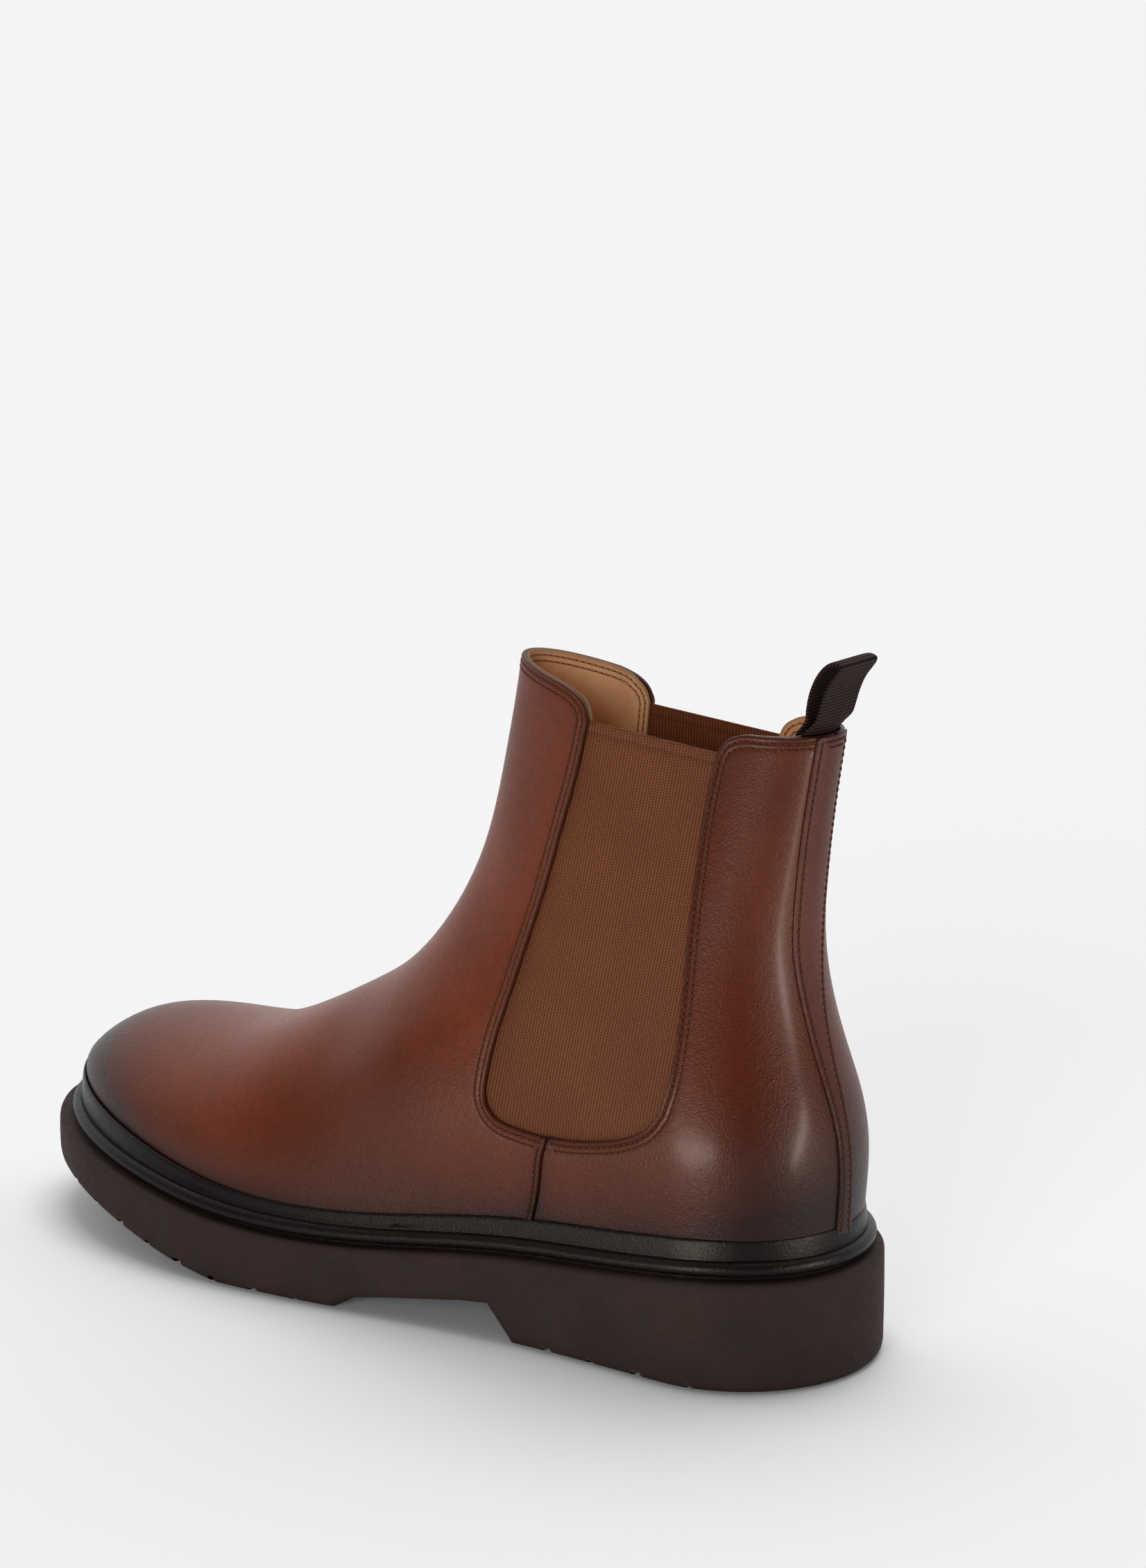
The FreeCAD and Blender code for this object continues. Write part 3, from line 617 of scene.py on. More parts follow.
def make_stitches(name, rows, material, hole_shade_material):
    """Threads and needle holes along rows of seats, as one piece. The holes are dark lenses of painted
    shade.
    """
    middle, ahead, up = [np.vstack(part) for part in zip(*rows)]
    length = PITCH * 0.36
    tilt = unit(ahead + 0.10 * np.cross(up, ahead))
    threads, thread_faces = scatter(capsule(), middle + up * 0.10, tilt, up,
                                    (length, THREAD_RADIUS, THREAD_RADIUS))
    hole_at = middle + ahead * (PITCH / 2)
    holes, hole_faces = scatter(button(), hole_at + up * 0.03, ahead, up,
                                (HOLE_RADIUS * 1.15, HOLE_RADIUS, HOLE_RADIUS))
    faces = thread_faces + [moved_up(face, len(threads)) for face in hole_faces]
    piece = make_object(name, np.vstack([threads, holes]), faces, material, sharp=80)
    piece.data.materials.append(hole_shade_material)
    number = np.zeros(len(piece.data.polygons), int)
    number[len(thread_faces):] = 1
    piece.data.polygons.foreach_set("material_index", number)
    return piece


# ---------------------------------------------------------------- materials
class Finish:
    """A principled material whose nodes are added one by one."""

    def __init__(self, name, **constants):
        self.material = bpy.data.materials.new(name)
        self.material.use_nodes = True
        self.tree = self.material.node_tree
        self.shader = self.tree.nodes["Principled BSDF"]
        for key, value in constants.items():
            self.shader.inputs[key.replace("_", " ").title().replace("Ior", "IOR")].default_value = value

    def plug(self, socket, value):
        """Links another node's output into a socket, or sets the socket's constant."""
        if isinstance(value, bpy.types.NodeSocket):
            self.tree.links.new(value, socket)
        else:
            socket.default_value = value

    def node(self, kind, settings=None, **inputs):
        node = self.tree.nodes.new("ShaderNode" + kind)
        for key, value in (settings or {}).items():
            setattr(node, key, value)
        for key, value in inputs.items():
            self.plug(node.inputs[int(key[1:]) if key[1:].isdigit() else key.replace("_", " ")], value)
        return node

    def here(self):
        return self.node("TexCoord").outputs["Object"]

    def noise(self, scale, detail, roughness=0.5, stretch=None):
        place = self.here()
        if stretch:
            place = self.node("Mapping", Vector=place, Scale=stretch).outputs[0]
        return self.node("TexNoise", Vector=place, Scale=scale, Detail=detail,
                         Roughness=roughness).outputs["Fac"]

    def ramp(self, value, low, high, start=0.0, end=1.0):
        return self.node("MapRange", {"clamp": True}, Value=value, From_Min=low, From_Max=high,
                         To_Min=start, To_Max=end).outputs[0]

    def attribute(self, name):
        return self.node("Attribute", {"attribute_name": name})

    def math(self, operation, a, b=0.0):
        return self.node("Math", {"operation": operation}, i0=a, i1=b).outputs[0]

    def mix(self, share, a, b):
        node = self.node("Mix", {"data_type": "RGBA"})
        for index, value in ((0, share), (6, a), (7, b)):
            self.plug(node.inputs[index], value)
        return node.outputs[2]

    def bump(self, height, distance, strength):
        return self.node("Bump", Height=height, Distance=distance, Strength=strength).outputs[0]

    def done(self, colour=None, roughness=None, normal=None):
        for key, value in (("Base Color", colour), ("Roughness", roughness), ("Normal", normal)):
            if value is not None:
                self.tree.links.new(value, self.shader.inputs[key])
        return self.material


def rgb(red, green, blue):
    """Linear colour from an sRGB colour in 0 to 255."""
    def linear(c):
        c /= 255
        return c / 12.92 if c <= 0.04045 else ((c + 0.055) / 1.055) ** 2.4
    return (linear(red), linear(green), linear(blue), 1.0)


def leather_finish(name, pale, deep, dark):
    """Burnished calf: the colour clouds softly and darkens where the attribute says that the leather is
    burnished.
    """
    f = Finish(name, coat_weight=0.10, coat_roughness=0.22, specular_ior_level=0.15)
    burnish_and_shade = f.attribute("burnish_and_shade").outputs["Fac"]
    clouds = f.ramp(f.noise(28.0, 3.0), 0.36, 0.66, 0.0, 0.5)
    cloud = f.math("ADD", clouds, f.attribute("tone").outputs["Fac"])
    mottle = f.ramp(f.noise(420.0, 3.0, 0.6), 0.3, 0.7)
    body = f.mix(cloud, rgb(*pale), rgb(*deep))
    body = f.mix(f.math("MULTIPLY", mottle, 0.22), body, rgb(*dark))
    colour = f.mix(f.math("MULTIPLY", burnish_and_shade, 0.93), body, rgb(*dark))
    roughness = f.ramp(f.noise(900.0, 3.0, 0.6), 0.25, 0.75, 0.33, 0.46)
    pores = f.node("TexVoronoi", {"feature": "SMOOTH_F1"}, Vector=f.here(), Scale=2100.0).outputs["Distance"]
    creases = f.noise(1000.0, 4.0, 0.65, (1.0, 1.0, 0.55))
    normal = f.bump(f.math("ADD", f.math("MULTIPLY", pores, 0.6), creases), 0.00026, 0.8)
    return f.done(colour, roughness, normal)


def suede_finish(name, pale, dark):
    """Soft lining leather with a nap, darker where its attribute says: along the dyed cut edge, and painted
    shade in the sunk stitch rows.
    """
    f = Finish(name, sheen_weight=0.15, sheen_roughness=0.5, specular_ior_level=0.1)
    cloud = f.noise(60.0, 4.0, 0.6)
    nap = f.noise(2600.0, 3.0, 0.7)
    colour = f.mix(f.ramp(cloud, 0.35, 0.68), rgb(*pale), rgb(*dark))
    colour = f.mix(f.ramp(nap, 0.4, 0.7, 0.0, 0.30), colour, rgb(*dark))
    colour = f.mix(f.attribute("burnish_and_shade").outputs["Fac"], colour, rgb(66, 40, 28))
    roughness = f.ramp(nap, 0.3, 0.7, 0.79, 0.93)
    return f.done(colour, roughness, f.bump(nap, 0.00012, 0.5))


def woven_finish(name, pale, dark, across, along_rows):
    """Knitted elastic: fine ribs up the cloth, crossed by rows. The weave attribute is in millimetres."""
    f = Finish(name, sheen_weight=0.08, sheen_roughness=0.4, specular_ior_level=0.12)
    place = f.node("SeparateXYZ", Vector=f.attribute("weave").outputs["Vector"])
    wobble = f.math("MULTIPLY", f.noise(260.0, 2.0), 0.9)
    ribs = f.math("SINE", f.math("ADD", f.math("MULTIPLY", place.outputs[0], TAU / across), wobble))
    rows = f.math("SINE", f.math("ADD", f.math("MULTIPLY", place.outputs[1], TAU / along_rows), wobble))
    weave = f.math("ADD", f.math("MULTIPLY", ribs, 0.6), f.math("MULTIPLY", rows, 0.4))
    cloud = f.ramp(f.noise(45.0, 3.0), 0.35, 0.7, 0.0, 0.18)
    fleck = f.ramp(f.noise(1800.0, 2.0), 0.35, 0.7, 0.0, 0.3)
    colour = f.mix(f.ramp(weave, -0.8, 0.8), rgb(*dark), rgb(*pale))
    colour = f.mix(f.math("ADD", cloud, fleck), colour, rgb(*dark))
    # The attribute darkens the elastic with painted shade in the groove under its thick woven top edge, and
    # along that edge.
    burnish_and_shade = f.attribute("burnish_and_shade").outputs["Fac"]
    colour = f.mix(f.math("MULTIPLY", burnish_and_shade, 0.6), colour, rgb(28, 16, 10))
    return f.done(colour, f.ramp(fleck, 0.0, 0.35, 0.62, 0.8), f.bump(weave, 0.00010, 0.8))


def rubber_finish(name, pale, dark, low, high, grain, depth, gloss):
    """Grained rubber. low and high are the ends of its roughness."""
    f = Finish(name, specular_ior_level=gloss)
    fine = f.noise(grain, 3.0, 0.65)
    cloud = f.noise(55.0, 2.0, 0.5)
    colour = f.mix(f.ramp(cloud, 0.3, 0.75, 0.35, 0.75), rgb(*dark), rgb(*pale))
    colour = f.mix(f.ramp(fine, 0.45, 0.75, 0.0, 0.5), colour, rgb(*pale))
    roughness = f.ramp(f.noise(500.0, 3.0, 0.6), 0.3, 0.7, low, high)
    return f.done(colour, roughness, f.bump(fine, depth, 0.6))


def plain_finish(name, pale, dark, rough, grain=900.0, metal=0.0, stretch=None):
    """Simple finish with two tones and a grain, for what is inside the boot."""
    f = Finish(name, metallic=metal, specular_ior_level=0.3 if metal else 0.12)
    fleck = f.noise(grain, 4.0, 0.65, stretch)
    colour = f.mix(f.ramp(fleck, 0.35, 0.68), rgb(*dark), rgb(*pale))
    return f.done(colour, f.ramp(fleck, 0.3, 0.7, rough - 0.08, rough + 0.08), f.bump(fleck, 0.0001, 0.4))


upper = leather_finish("cognac_calf", (127, 58, 33), (101, 37, 11), (30, 13, 11))
elastic = woven_finish("brown_elastic", (150, 89, 56), (84, 43, 24), 1.05, 0.75)
tan_lining = suede_finish("tan_lining", (250, 199, 151), (224, 167, 121))
sole_rubber = rubber_finish("sole_rubber", (64, 49, 45), (44, 32, 29), 0.6, 0.78, 1900.0, 0.00040, 0.10)
welt_rubber = rubber_finish("welt_rubber", (25, 17, 16), (14, 9, 9), 0.28, 0.42, 1300.0, 0.00030, 0.15)
thread = plain_finish("brown_thread", (116, 66, 42), (72, 38, 24), 0.8, 3000.0)
pale_thread = plain_finish("tan_thread", (190, 140, 98), (150, 104, 68), 0.65, 3000.0)
# The needle hole finishes are painted shade: dark where the holes would lie in shadow.
hole = plain_finish("needle_hole_shade", (34, 18, 12), (22, 12, 9), 0.8)
tan_hole = plain_finish("lining_hole_shade", (112, 72, 44), (84, 52, 32), 0.8)


# ---------------------------------------------------------------- upper
FAR = 99.0              # distance to a kind of edge that a panel doesn't have


def trim_distance(edge):
    """Distance to the panel's stitched edges."""
    return np.minimum(edge.get("fold", FAR), edge.get("top", FAR))


def leather_relief(edge, points):
    """Folded beads along the elastic, and sunk stitch rows."""
    fold, trim = edge.get("fold", FAR), trim_distance(edge)
    height = -edge_round(nearest(edge), 0.55)
    height += 0.38 * bump(fold, 0.75, 0.55)
    height -= 0.24 * bump(trim, ROW_ONE, 0.4) + 0.18 * bump(trim, ROW_TWO, 0.45)
    height += 0.12 * bump(trim, (ROW_ONE + ROW_TWO) / 2, 0.5)
    return height


def vamp_relief(edge, points):
    """The vamp also laps over the quarters, along the side seams."""
    seam = edge["seam"]
    low = smooth(70, 60, points[:, 2])
    lap = 0.75 * np.exp(-(seam / 3.2) ** 2) + 0.22 * bump(seam, 0.8, 0.6) - 0.2 * bump(seam, ROW_ONE, 0.5)
    return leather_relief(edge, points) + lap * low


def burnish_and_shade(panel):
    """How dark the leather is polished: 0 is the plain colour and 1 the darkest."""
    edge, (x, _, z) = panel.edge, panel.points.T
    trim = trim_distance(edge)
    over_welt = z - welt_top(x)
    value = 0.95 * np.exp(-np.maximum(0, over_welt) / 10.5)
    value += 0.75 * smooth(222, 292, x) * smooth(92, 40, z) + 0.35 * smooth(262, 292, x)
    value += 0.42 * np.exp(-trim / 2.2) + 0.15 * np.exp(-trim / 0.35)
    value += 0.45 * np.exp(-edge.get("seam", FAR) / 2.6)
    value += 0.58 * smooth(42, 10, x) * smooth(104, 60, z)
    value += 0.30 * bump(x, 150, 26) * smooth(118, 60, z) * smooth(30, 45, z)
    value += 0.16 * smooth(120, 190, z)
    return np.clip(value, 0, 1)


def leather_shades(panel):
    """The leather's two attributes. tone is 1 on the deeper coloured quarters and heel."""
    x, _, z = panel.points.T
    tone = 0.7 * smooth(82, 44, x) + 0.25 * bump(z, 62, 16) * smooth(210, 120, x)
    return {"burnish_and_shade": burnish_and_shade(panel), "tone": np.clip(tone, 0, 1)}


LEATHER_RINGS = [0.12, 0.3, 0.6, 0.95, 1.3, ROW_ONE, 2.15, 2.6, 3.05, ROW_TWO, 4.0, 4.6, 6.0]
LEATHER_GRID = 2.0
SIDE_NAME = {1: "lateral", -1: "medial"}
BACK_LOW_V = float(back_v(leather_foot(UPPER_INSET)))
BACK_TOP_V = float(back_v(BACK_TOP_Z))
BACK_TOP_POINT = (float(back_line(BACK_TOP_Z)) + 0.02, BACK_TOP_Z)


def make_vamp():
    """One piece of leather over toe and instep, up to the top of the shaft. Returns its stitch rows."""
    foot = [("base", to_toe_tip(level_curve(SEAM_FOOT_X, UPPER_END, leather_foot)))]
    upward = [
        ("seam", side_curve([SEAM_FOOT, *SIDE_SEAM[:-1][::-1]])),
        ("fold", side_curve(JOIN_FRONT)),
        ("fold", side_curve(GORE_CORNER_FRONT[::-1])),
        ("fold", side_curve(GORE_FRONT[::-1])),
        ("top", side_curve(FRONT_TOP)),
        ("top", line_to_ridge(FRONT_TOP[-1], FRONT_TOP_END)),
    ]
    panel = Panel(round_front(foot, upward), 0, LEATHER, vamp_relief, LEATHER_RINGS, LEATHER_GRID)
    panel.make("vamp_leather", "upper_leather", upper, ["vamp"], leather_shades(panel))
    return [*edge_rows(panel), stitch_row(panel, ["seam"], ROW_ONE + 0.3)]


def make_quarter(side):
    """side is 1 for the outer quarter and -1 for the inner one."""
    heel = level_curve(SEAM_FOOT_X, UPPER_INSET, leather_foot)
    heel[-1] = (0, BACK_LOW_V)
    runs = [
        ("base", heel),
        ("centre", np.array([(0, BACK_LOW_V), (0, (BACK_LOW_V + BACK_TOP_V) / 2), (0, BACK_TOP_V)])),
        ("top", side_curve([BACK_TOP_POINT, QUARTER_TOP[-1]])),
        ("top", side_curve(QUARTER_TOP[::-1])),
        ("fold", side_curve(GORE_BACK[::-1])),
        ("fold", side_curve(GORE_CORNER_BACK[::-1])),
        ("fold", side_curve(JOIN_BACK[::-1])),
        ("seam", side_curve([*SIDE_SEAM[:-1], SEAM_FOOT])),
    ]
    runs = [(kind, run * (side, 1)) for kind, run in runs]
    panel = Panel(runs, 0, LEATHER, leather_relief, LEATHER_RINGS, LEATHER_GRID)
    name = SIDE_NAME[side]
    panel.make("quarter_leather_" + name, "upper_leather", upper, ["quarter_" + name], leather_shades(panel))
    return edge_rows(panel)


BACKSTAY_HALF = Spline([(42, 3.6), (61, 3.2), (79, 3.6), (99, 4.8), (110, 5.8), (123, 7.2), (139, 7.5),
                        (156, 7.4), (172, 7.1), (188, 6.9)])


def backstay_edge():
    """Where the strip's half width ends, as (turn, v)."""
    v = np.linspace(BACK_LOW_V, BACK_TOP_V, 90)
    low, high = np.zeros(len(v)), np.full(len(v), 1.2)
    for _ in range(30):
        turn = (low + high) / 2
        points = surface(turn, v)
        short = points[:, 1] < BACKSTAY_HALF(points[:, 2])
        low, high = np.where(short, turn, low), np.where(short, high, turn)
    return np.column_stack([turn, v])


def backstay_relief(edge, points):
    return -edge_round(nearest(edge), 0.45) - 0.07 * bump(edge["strip"], ROW_ONE, 0.4)


def make_backstay():
    """Strip that lies on the quarters, over the seam at the back."""
    edge = backstay_edge()
    foot, head = edge[0, 0], edge[-1, 0]
    runs = [
        ("strip", edge),
        ("top", np.column_stack([np.linspace(head, -head, 9), np.full(9, BACK_TOP_V)])),
        ("strip", (edge * (-1, 1))[::-1]),
        ("base", np.column_stack([np.linspace(-foot, foot, 9), np.full(9, BACK_LOW_V)])),
    ]
    panel = Panel(runs, -0.8, 0.7, backstay_relief, [0.12, 0.3, 0.55, 0.9, 1.4, 1.9, 2.4], 1.4, 0.9)
    shades = leather_shades(panel)
    shades["burnish_and_shade"] = np.clip(shades["burnish_and_shade"] + 0.35 * np.exp(-panel.edge["strip"] / 0.9), 0, 1)
    panel.make("backstay_strip", "upper_leather", upper, ["backstay"], shades)
    return [stitch_row(panel, ["strip"], ROW_ONE), *edge_rows(panel, ["top"])]


HEM = 3.2
GORE_RINGS = [0.12, 0.35, 0.8, 1.6, 2.4, 2.7, 3.0, 3.3, 3.8]


def weave_place(panel):
    """Place in the cloth in millimetres, across and up. The ribs lean with the middle of the gore."""
    x, _, z = panel.points.T
    return np.column_stack([x + 0.11 * z, z, np.zeros(len(x))])


def gore_relief(edge, points):
    """The woven edge at the top of the elastic is thicker, with a groove under it."""
    hem = edge["hem"]
    return 0.22 * smooth(3.1, 2.5, hem) - 0.12 * bump(hem, HEM, 0.35) - edge_round(nearest(edge), 0.35)


def make_gore(side):
    """Elastic panel, sewn in under the leather round it."""
    front = shifted(GORE_FRONT, GORE_MARGIN)
    back = shifted(GORE_BACK, -GORE_MARGIN)
    bottom = [front[-1], (112, 66), (99, 58.2), (84, 57), (66, 59), (49, 64.5), back[0]]
    runs = [("side", side_curve(front)), ("side", side_curve(bottom)), ("side", side_curve(back)),
            ("hem", side_curve([back[-1], front[0]]))]
    runs = [(kind, run * (side, 1)) for kind, run in runs]
    panel = Panel(runs, LINING_DEPTH, LINING, gore_relief, GORE_RINGS, 2.2)
    name, hem = SIDE_NAME[side], panel.edge["hem"]
    # Painted shade in the groove under the thick woven top edge, and a darker line right along that edge.
    shade = 0.5 * bump(hem, HEM, 0.5) + 0.7 * np.exp(-hem / 0.3)
    piece = panel.make("gore_elastic_" + name, "elastic", elastic, ["gore_" + name],
                       {"weave": weave_place(panel), "burnish_and_shade": shade})


# ---------------------------------------------------------------- lining
def lining_back(edge, points):
    """The lining passes over the edges of the elastic, and over the ends of the pull tab."""
    over = -0.8 * smooth(10.5, 7.0, edge["fold"])
    x, y, z = points.T
    return over - 0.9 * smooth(12.5, 9.5, np.abs(y)) * smooth(30, 20, x) * smooth(164, 171, z)


LINING_RINGS = [0.15, 0.4, 1.0, 1.4, ROW_ONE, 2.1, 2.8, ROW_TWO, 4.2]
LINING_GRID = 2.6


class LiningPanel(Panel):
    """Its finished face is the inner one, so rows and rounding are on that side."""

    def underside(self, place):
        points, normal = surface(*place.T), inward(*place.T)
        edge = self.outline.distances(points)
        depth = self.depth + self.thickness - self.back(edge, points)
        return points + normal * depth[:, None], normal


def lining_face(edge, points):
    """The stitch rows sink into the lining's finished face."""
    trim = trim_distance(edge)
    return lining_back(edge, points) + 0.14 * (bump(trim, ROW_ONE, 0.5) + bump(trim, ROW_TWO, 0.5))


def make_lining(name, node, runs):
    """A lining with its stitch rows. Its cut edge takes the edge dye, and its sunk stitch rows take painted
    shade.
    """
    panel = LiningPanel(runs, LINING_DEPTH, LINING, lining_back, LINING_RINGS, LINING_GRID, back=lining_face)
    trim = trim_distance(panel.edge)
    # Edge dye along the cut edge, and painted shade in the stitch rows that lining_face sinks into the
    # finished face.
    shade = 0.75 * np.exp(-trim / 0.45) + 0.12 * bump(trim, ROW_ONE, 0.5) + 0.12 * bump(trim, ROW_TWO, 0.5)
    panel.make(name, "lining_leather", tan_lining, [node], {"burnish_and_shade": shade})
    return edge_rows(panel, inner=True)


def make_lining_front():
    """Lining of the front of the shaft and the instep."""
    foot = [("base", line_to_ridge((100, 74), (215, 91.8)))]
    upward = [("fold", side_curve([(100, 74), (106.6, 86), *GORE_FRONT[:6][::-1]])),
              ("top", side_curve(FRONT_TOP)),
              ("top", line_to_ridge(FRONT_TOP[-1], FRONT_TOP_END))]
    return make_lining("front_lining", "lining_front", round_front(foot, upward))


def make_lining_quarter():
    """Lining of the back and sides of the shaft."""
    low_z = 82.5
    rise = [
        ("base", side_curve([(8.0, low_z), (15, 82), (30, 74.5), (42, 62), (55, 51), (68, 44.5), (80, 38)])),
        ("base", side_curve([(80, 38), (90, 40)])),
        ("base", side_curve([(90, 40), (90, 57)])),
        ("base", side_curve([(90, 57), (66, 60.5), (51, 66.5)])),
        ("fold", side_curve([(51, 66.5), (46, 79), *GORE_BACK[1:]])),
        ("top", side_curve(QUARTER_TOP)),
        ("top", side_curve([QUARTER_TOP[-1], BACK_TOP_POINT])),
    ]
    rise[0][1][0] = (0, back_v(low_z))
    rise[-1][1][-1] = (0, BACK_TOP_V)
    return make_lining("quarter_lining", "lining_quarter", round_heel(rise))


INNER_DEPTH = 2.25
INNER_RINGS = [0.15, 0.4, 1.2, 2.4]
INNER_GRID = 3.2


def inner_relief(edge, points):
    return -edge_round(nearest(edge), 0.15)


def make_inner_lining(name, node, runs):
    panel = Panel(runs, INNER_DEPTH, LINING, inner_relief, INNER_RINGS, INNER_GRID, 1.6)
    panel.make(name, "lining_leather", tan_lining, [node])


def make_toe_lining():
    """Lining of the forefoot, lapped under the front lining."""
    foot_x, corner = 91.6, (104.5, 67.4)
    foot = [("base", to_toe_tip(level_curve(foot_x, UPPER_END, lining_foot)))]
    upward = [("base", side_curve([(foot_x, lining_foot(foot_x)), *SIDE_SEAM[::-1]])),
              ("base", side_curve([*JOIN_FRONT, GORE_CORNER_FRONT[2], corner])),
              ("base", line_to_ridge(corner, (215, 86.3)))]
    make_inner_lining("toe_lining", "vamp_lining", round_front(foot, upward))


def make_heel_lining():
    """Lining of the heel, lapped over the quarter lining."""
    top_z, corner = 87, (83, 42)
    rise = [
        ("base", side_curve([(11.0, top_z), (18, 86), (33, 78.5), (45, 66), (58, 55), (71, 48.5), corner])),
        ("base", side_curve([corner, (corner[0], lining_foot(corner[0]))])),
        ("base", level_curve(corner[0], UPPER_INSET, lining_foot)),
    ]
    rise[0][1][0] = (0, back_v(top_z))
    rise[-1][1][-1] = (0, back_v(lining_foot(UPPER_INSET)))
    make_inner_lining("heel_grip_lining", "heel_lining", round_heel(rise))


# ---------------------------------------------------------------- sole and welt
STATIONS = 420
BEAD_MIDDLE = 4.75      # how far the middle of the bead lies inside the sole's edge
BEAD_ACROSS = 2.45
BEAD_UP = 2.35
BEAD_RISE = 3.45
WELT_TOE = 3.0          # how much further the welt lies from the edge at the toe


def make_welt():
    """Glossy bead with a groove over it, and the smooth strip that leans on the leather."""
    turns = np.linspace(0, TAU, STATIONS, endpoint=False)
    leather = upper_outline(turns)
    low = outline(turns, 5.0, 5.0 + WELT_TOE)

    def ring(inset, rise):
        """Ring inside the sole's edge, at a height over the sole."""
        xy = outline(turns, inset, inset + WELT_TOE)
        return np.column_stack([xy, sole_top(xy[:, 0]) + rise])

    def lean(share, drop):
        """Ring between the foot of the smooth strip and the leather."""
        xy = low + (leather - low) * share
        return np.column_stack([xy, welt_top(xy[:, 0]) - drop])

    rings = [ring(8.2, 0.15), ring(4.2, 0.15), ring(4.0, 0.9)]
    for angle in np.radians([-72, -54, -36, -18, 0, 18, 36, 54, 72, 86]):
        inset = BEAD_MIDDLE - BEAD_ACROSS * math.cos(angle)
        rings.append(ring(inset, BEAD_RISE + BEAD_UP * math.sin(angle)))
    rings += [ring(4.95, 5.75), ring(5.0, 6.1), ring(5.0, 6.6)]
    for share, drop in ((0.12, 3.6), (0.24, 2.2), (0.34, 1.1), (0.42, 0.5), (0.54, 0.12), (0.7, 0.0),
                        (0.84, 0.12), (0.92, 0.45), (0.95, 1.4), (0.95, 4.0)):
        rings.append(lean(share, drop))
    points, faces = sweep(rings, True)
    return make_object("beaded_welt", points, [face[::-1] for face in faces], welt_rubber,
                       ["storm_welt"], sharp=60)


def ground(x):
    """Underside of the sole: heel block, breast, arch, ball and toe spring."""
    flat = np.interp(x, [94, 103, 112, 124, 137, 150, 157], [0, 10.5, 9.6, 7.8, 6, 4, 0])
    return np.where(x < 200, flat, np.maximum(0, toe_spring(x)))


def fill(ring, height, spacing):
    """Triangles over the inside of a ring, with its own vertices first. height is a function of x and y."""
    low, high = ring[:, :2].min(0), ring[:, :2].max(0)
    x, y = (np.arange(start, stop, spacing) for start, stop in zip(low, high))
    grid = np.stack(np.meshgrid(x, y), -1).reshape(-1, 2)
    tree = search_tree(np.pad(ring[:, :2], ((0, 0), (0, 1))))
    away = np.array([tree.find((p[0], p[1], 0))[2] for p in grid])
    flat = np.vstack([ring[:, :2], grid[away > spacing * 0.6]])
    count = len(ring)
    edges = [(i, (i + 1) % count) for i in range(count)]
    found = delaunay_2d_cdt([Vector(p) for p in flat], edges, [], 1, 1e-6)
    used = np.unique(np.array(found[2]))
    extra = [int(i) for i in used if not any(old < count for old in found[3][i])]
    number = {i: count + k for k, i in enumerate(extra)}
    for i in used:
        for old in found[3][int(i)]:
            if old < count:
                number[int(i)] = old
    xy = np.array([list(found[0][i]) for i in extra])
    faces = [tuple(number[int(i)] for i in face) for face in found[2]]
    return np.column_stack([xy, height(*xy.T)]), faces


def capped(rings, low, high, spacing):
    """Rings from the top down, joined and closed. low and high are the heights of the end faces."""
    count = len(rings[0])
    points, faces = sweep(rings, False)
    low_points, low_faces = fill(rings[-1], low, spacing)
    high_points, high_faces = fill(rings[0], high, spacing)
    base = len(points) - count
    start = len(points) + len(low_points)
    faces += [moved_up(face, base) for face in low_faces]
    faces += [tuple(i if i < count else i - count + start for i in face)[::-1] for face in high_faces]
    return np.vstack([points, low_points, high_points]), faces


def sole_stations():
    """Turns round the sole, with extra ones at the corners of the underside."""
    corners = np.array([94, 103, 150, 157.0, 202])
    at = np.arccos(1 - 2 * corners / LENGTH)
    turns = np.sort(np.concatenate([np.linspace(0, TAU, STATIONS, endpoint=False), at, TAU - at]))
    return turns[np.concatenate([[True], np.diff(turns) > 0.002])]


def make_outsole():
    """The sole before its tread is cut, with a rounded ledge and a rounded edge underneath."""
    turns = sole_stations()
    edge_x = outline(turns, 0, 0)[:, 0]
    under, over = ground(edge_x), sole_top(edge_x)

    def ring(inset, height):
        return np.column_stack([outline(turns, inset, inset), height])

    rings = [ring(9.0, over), ring(5.5, over), ring(2.4, over), ring(1.1, over - 0.12),
             ring(0.45, over - 0.55), ring(0.12, over - 1.2), ring(0, over - 2.0)]
    for share in (0.25, 0.5, 0.75):
        rings.append(ring(-0.12 * math.sin(PI * share), over - 2 + (under + 3.4 - over + 2) * share))
    rings += [ring(0, under + 3.4), ring(0.2, under + 2.2), ring(0.7, under + 1.2), ring(1.5, under + 0.5),
              ring(2.6, under + 0.1), ring(3.6, under)]
    points, faces = capped(rings, lambda x, y: ground(x), lambda x, y: sole_top(x), 5.0)
    return make_object("tread_sole", points, faces, sole_rubber, ["outsole"], sharp=38)


GROOVE_DEPTH = 2.6
GROOVE_REACH = 24.0
GROOVE_WIDTHS = (2.2, 3.6)
CUT_BELOW = 8.0         # how far the cutters reach out of the rubber
CUT_BESIDE = 10.0
GROOVES_HEEL = [32.0, 49.5, 66.0, 82.0]
GROOVES_FORE = [169.5, 184.5, 199.5, 213.5, 227.0, 240.5, 254.0, 268.5]


def cutter_box(low, high):
    (x0, y0, z0), (x1, y1, z1) = low, high
    points = [(x, y, z) for z in (z0, z1) for y in (y0, y1) for x in (x0, x1)]
    faces = [(0, 2, 3, 1), (4, 5, 7, 6), (0, 1, 5, 4), (2, 6, 7, 3), (0, 4, 6, 2), (1, 3, 7, 5)]
    return points, faces


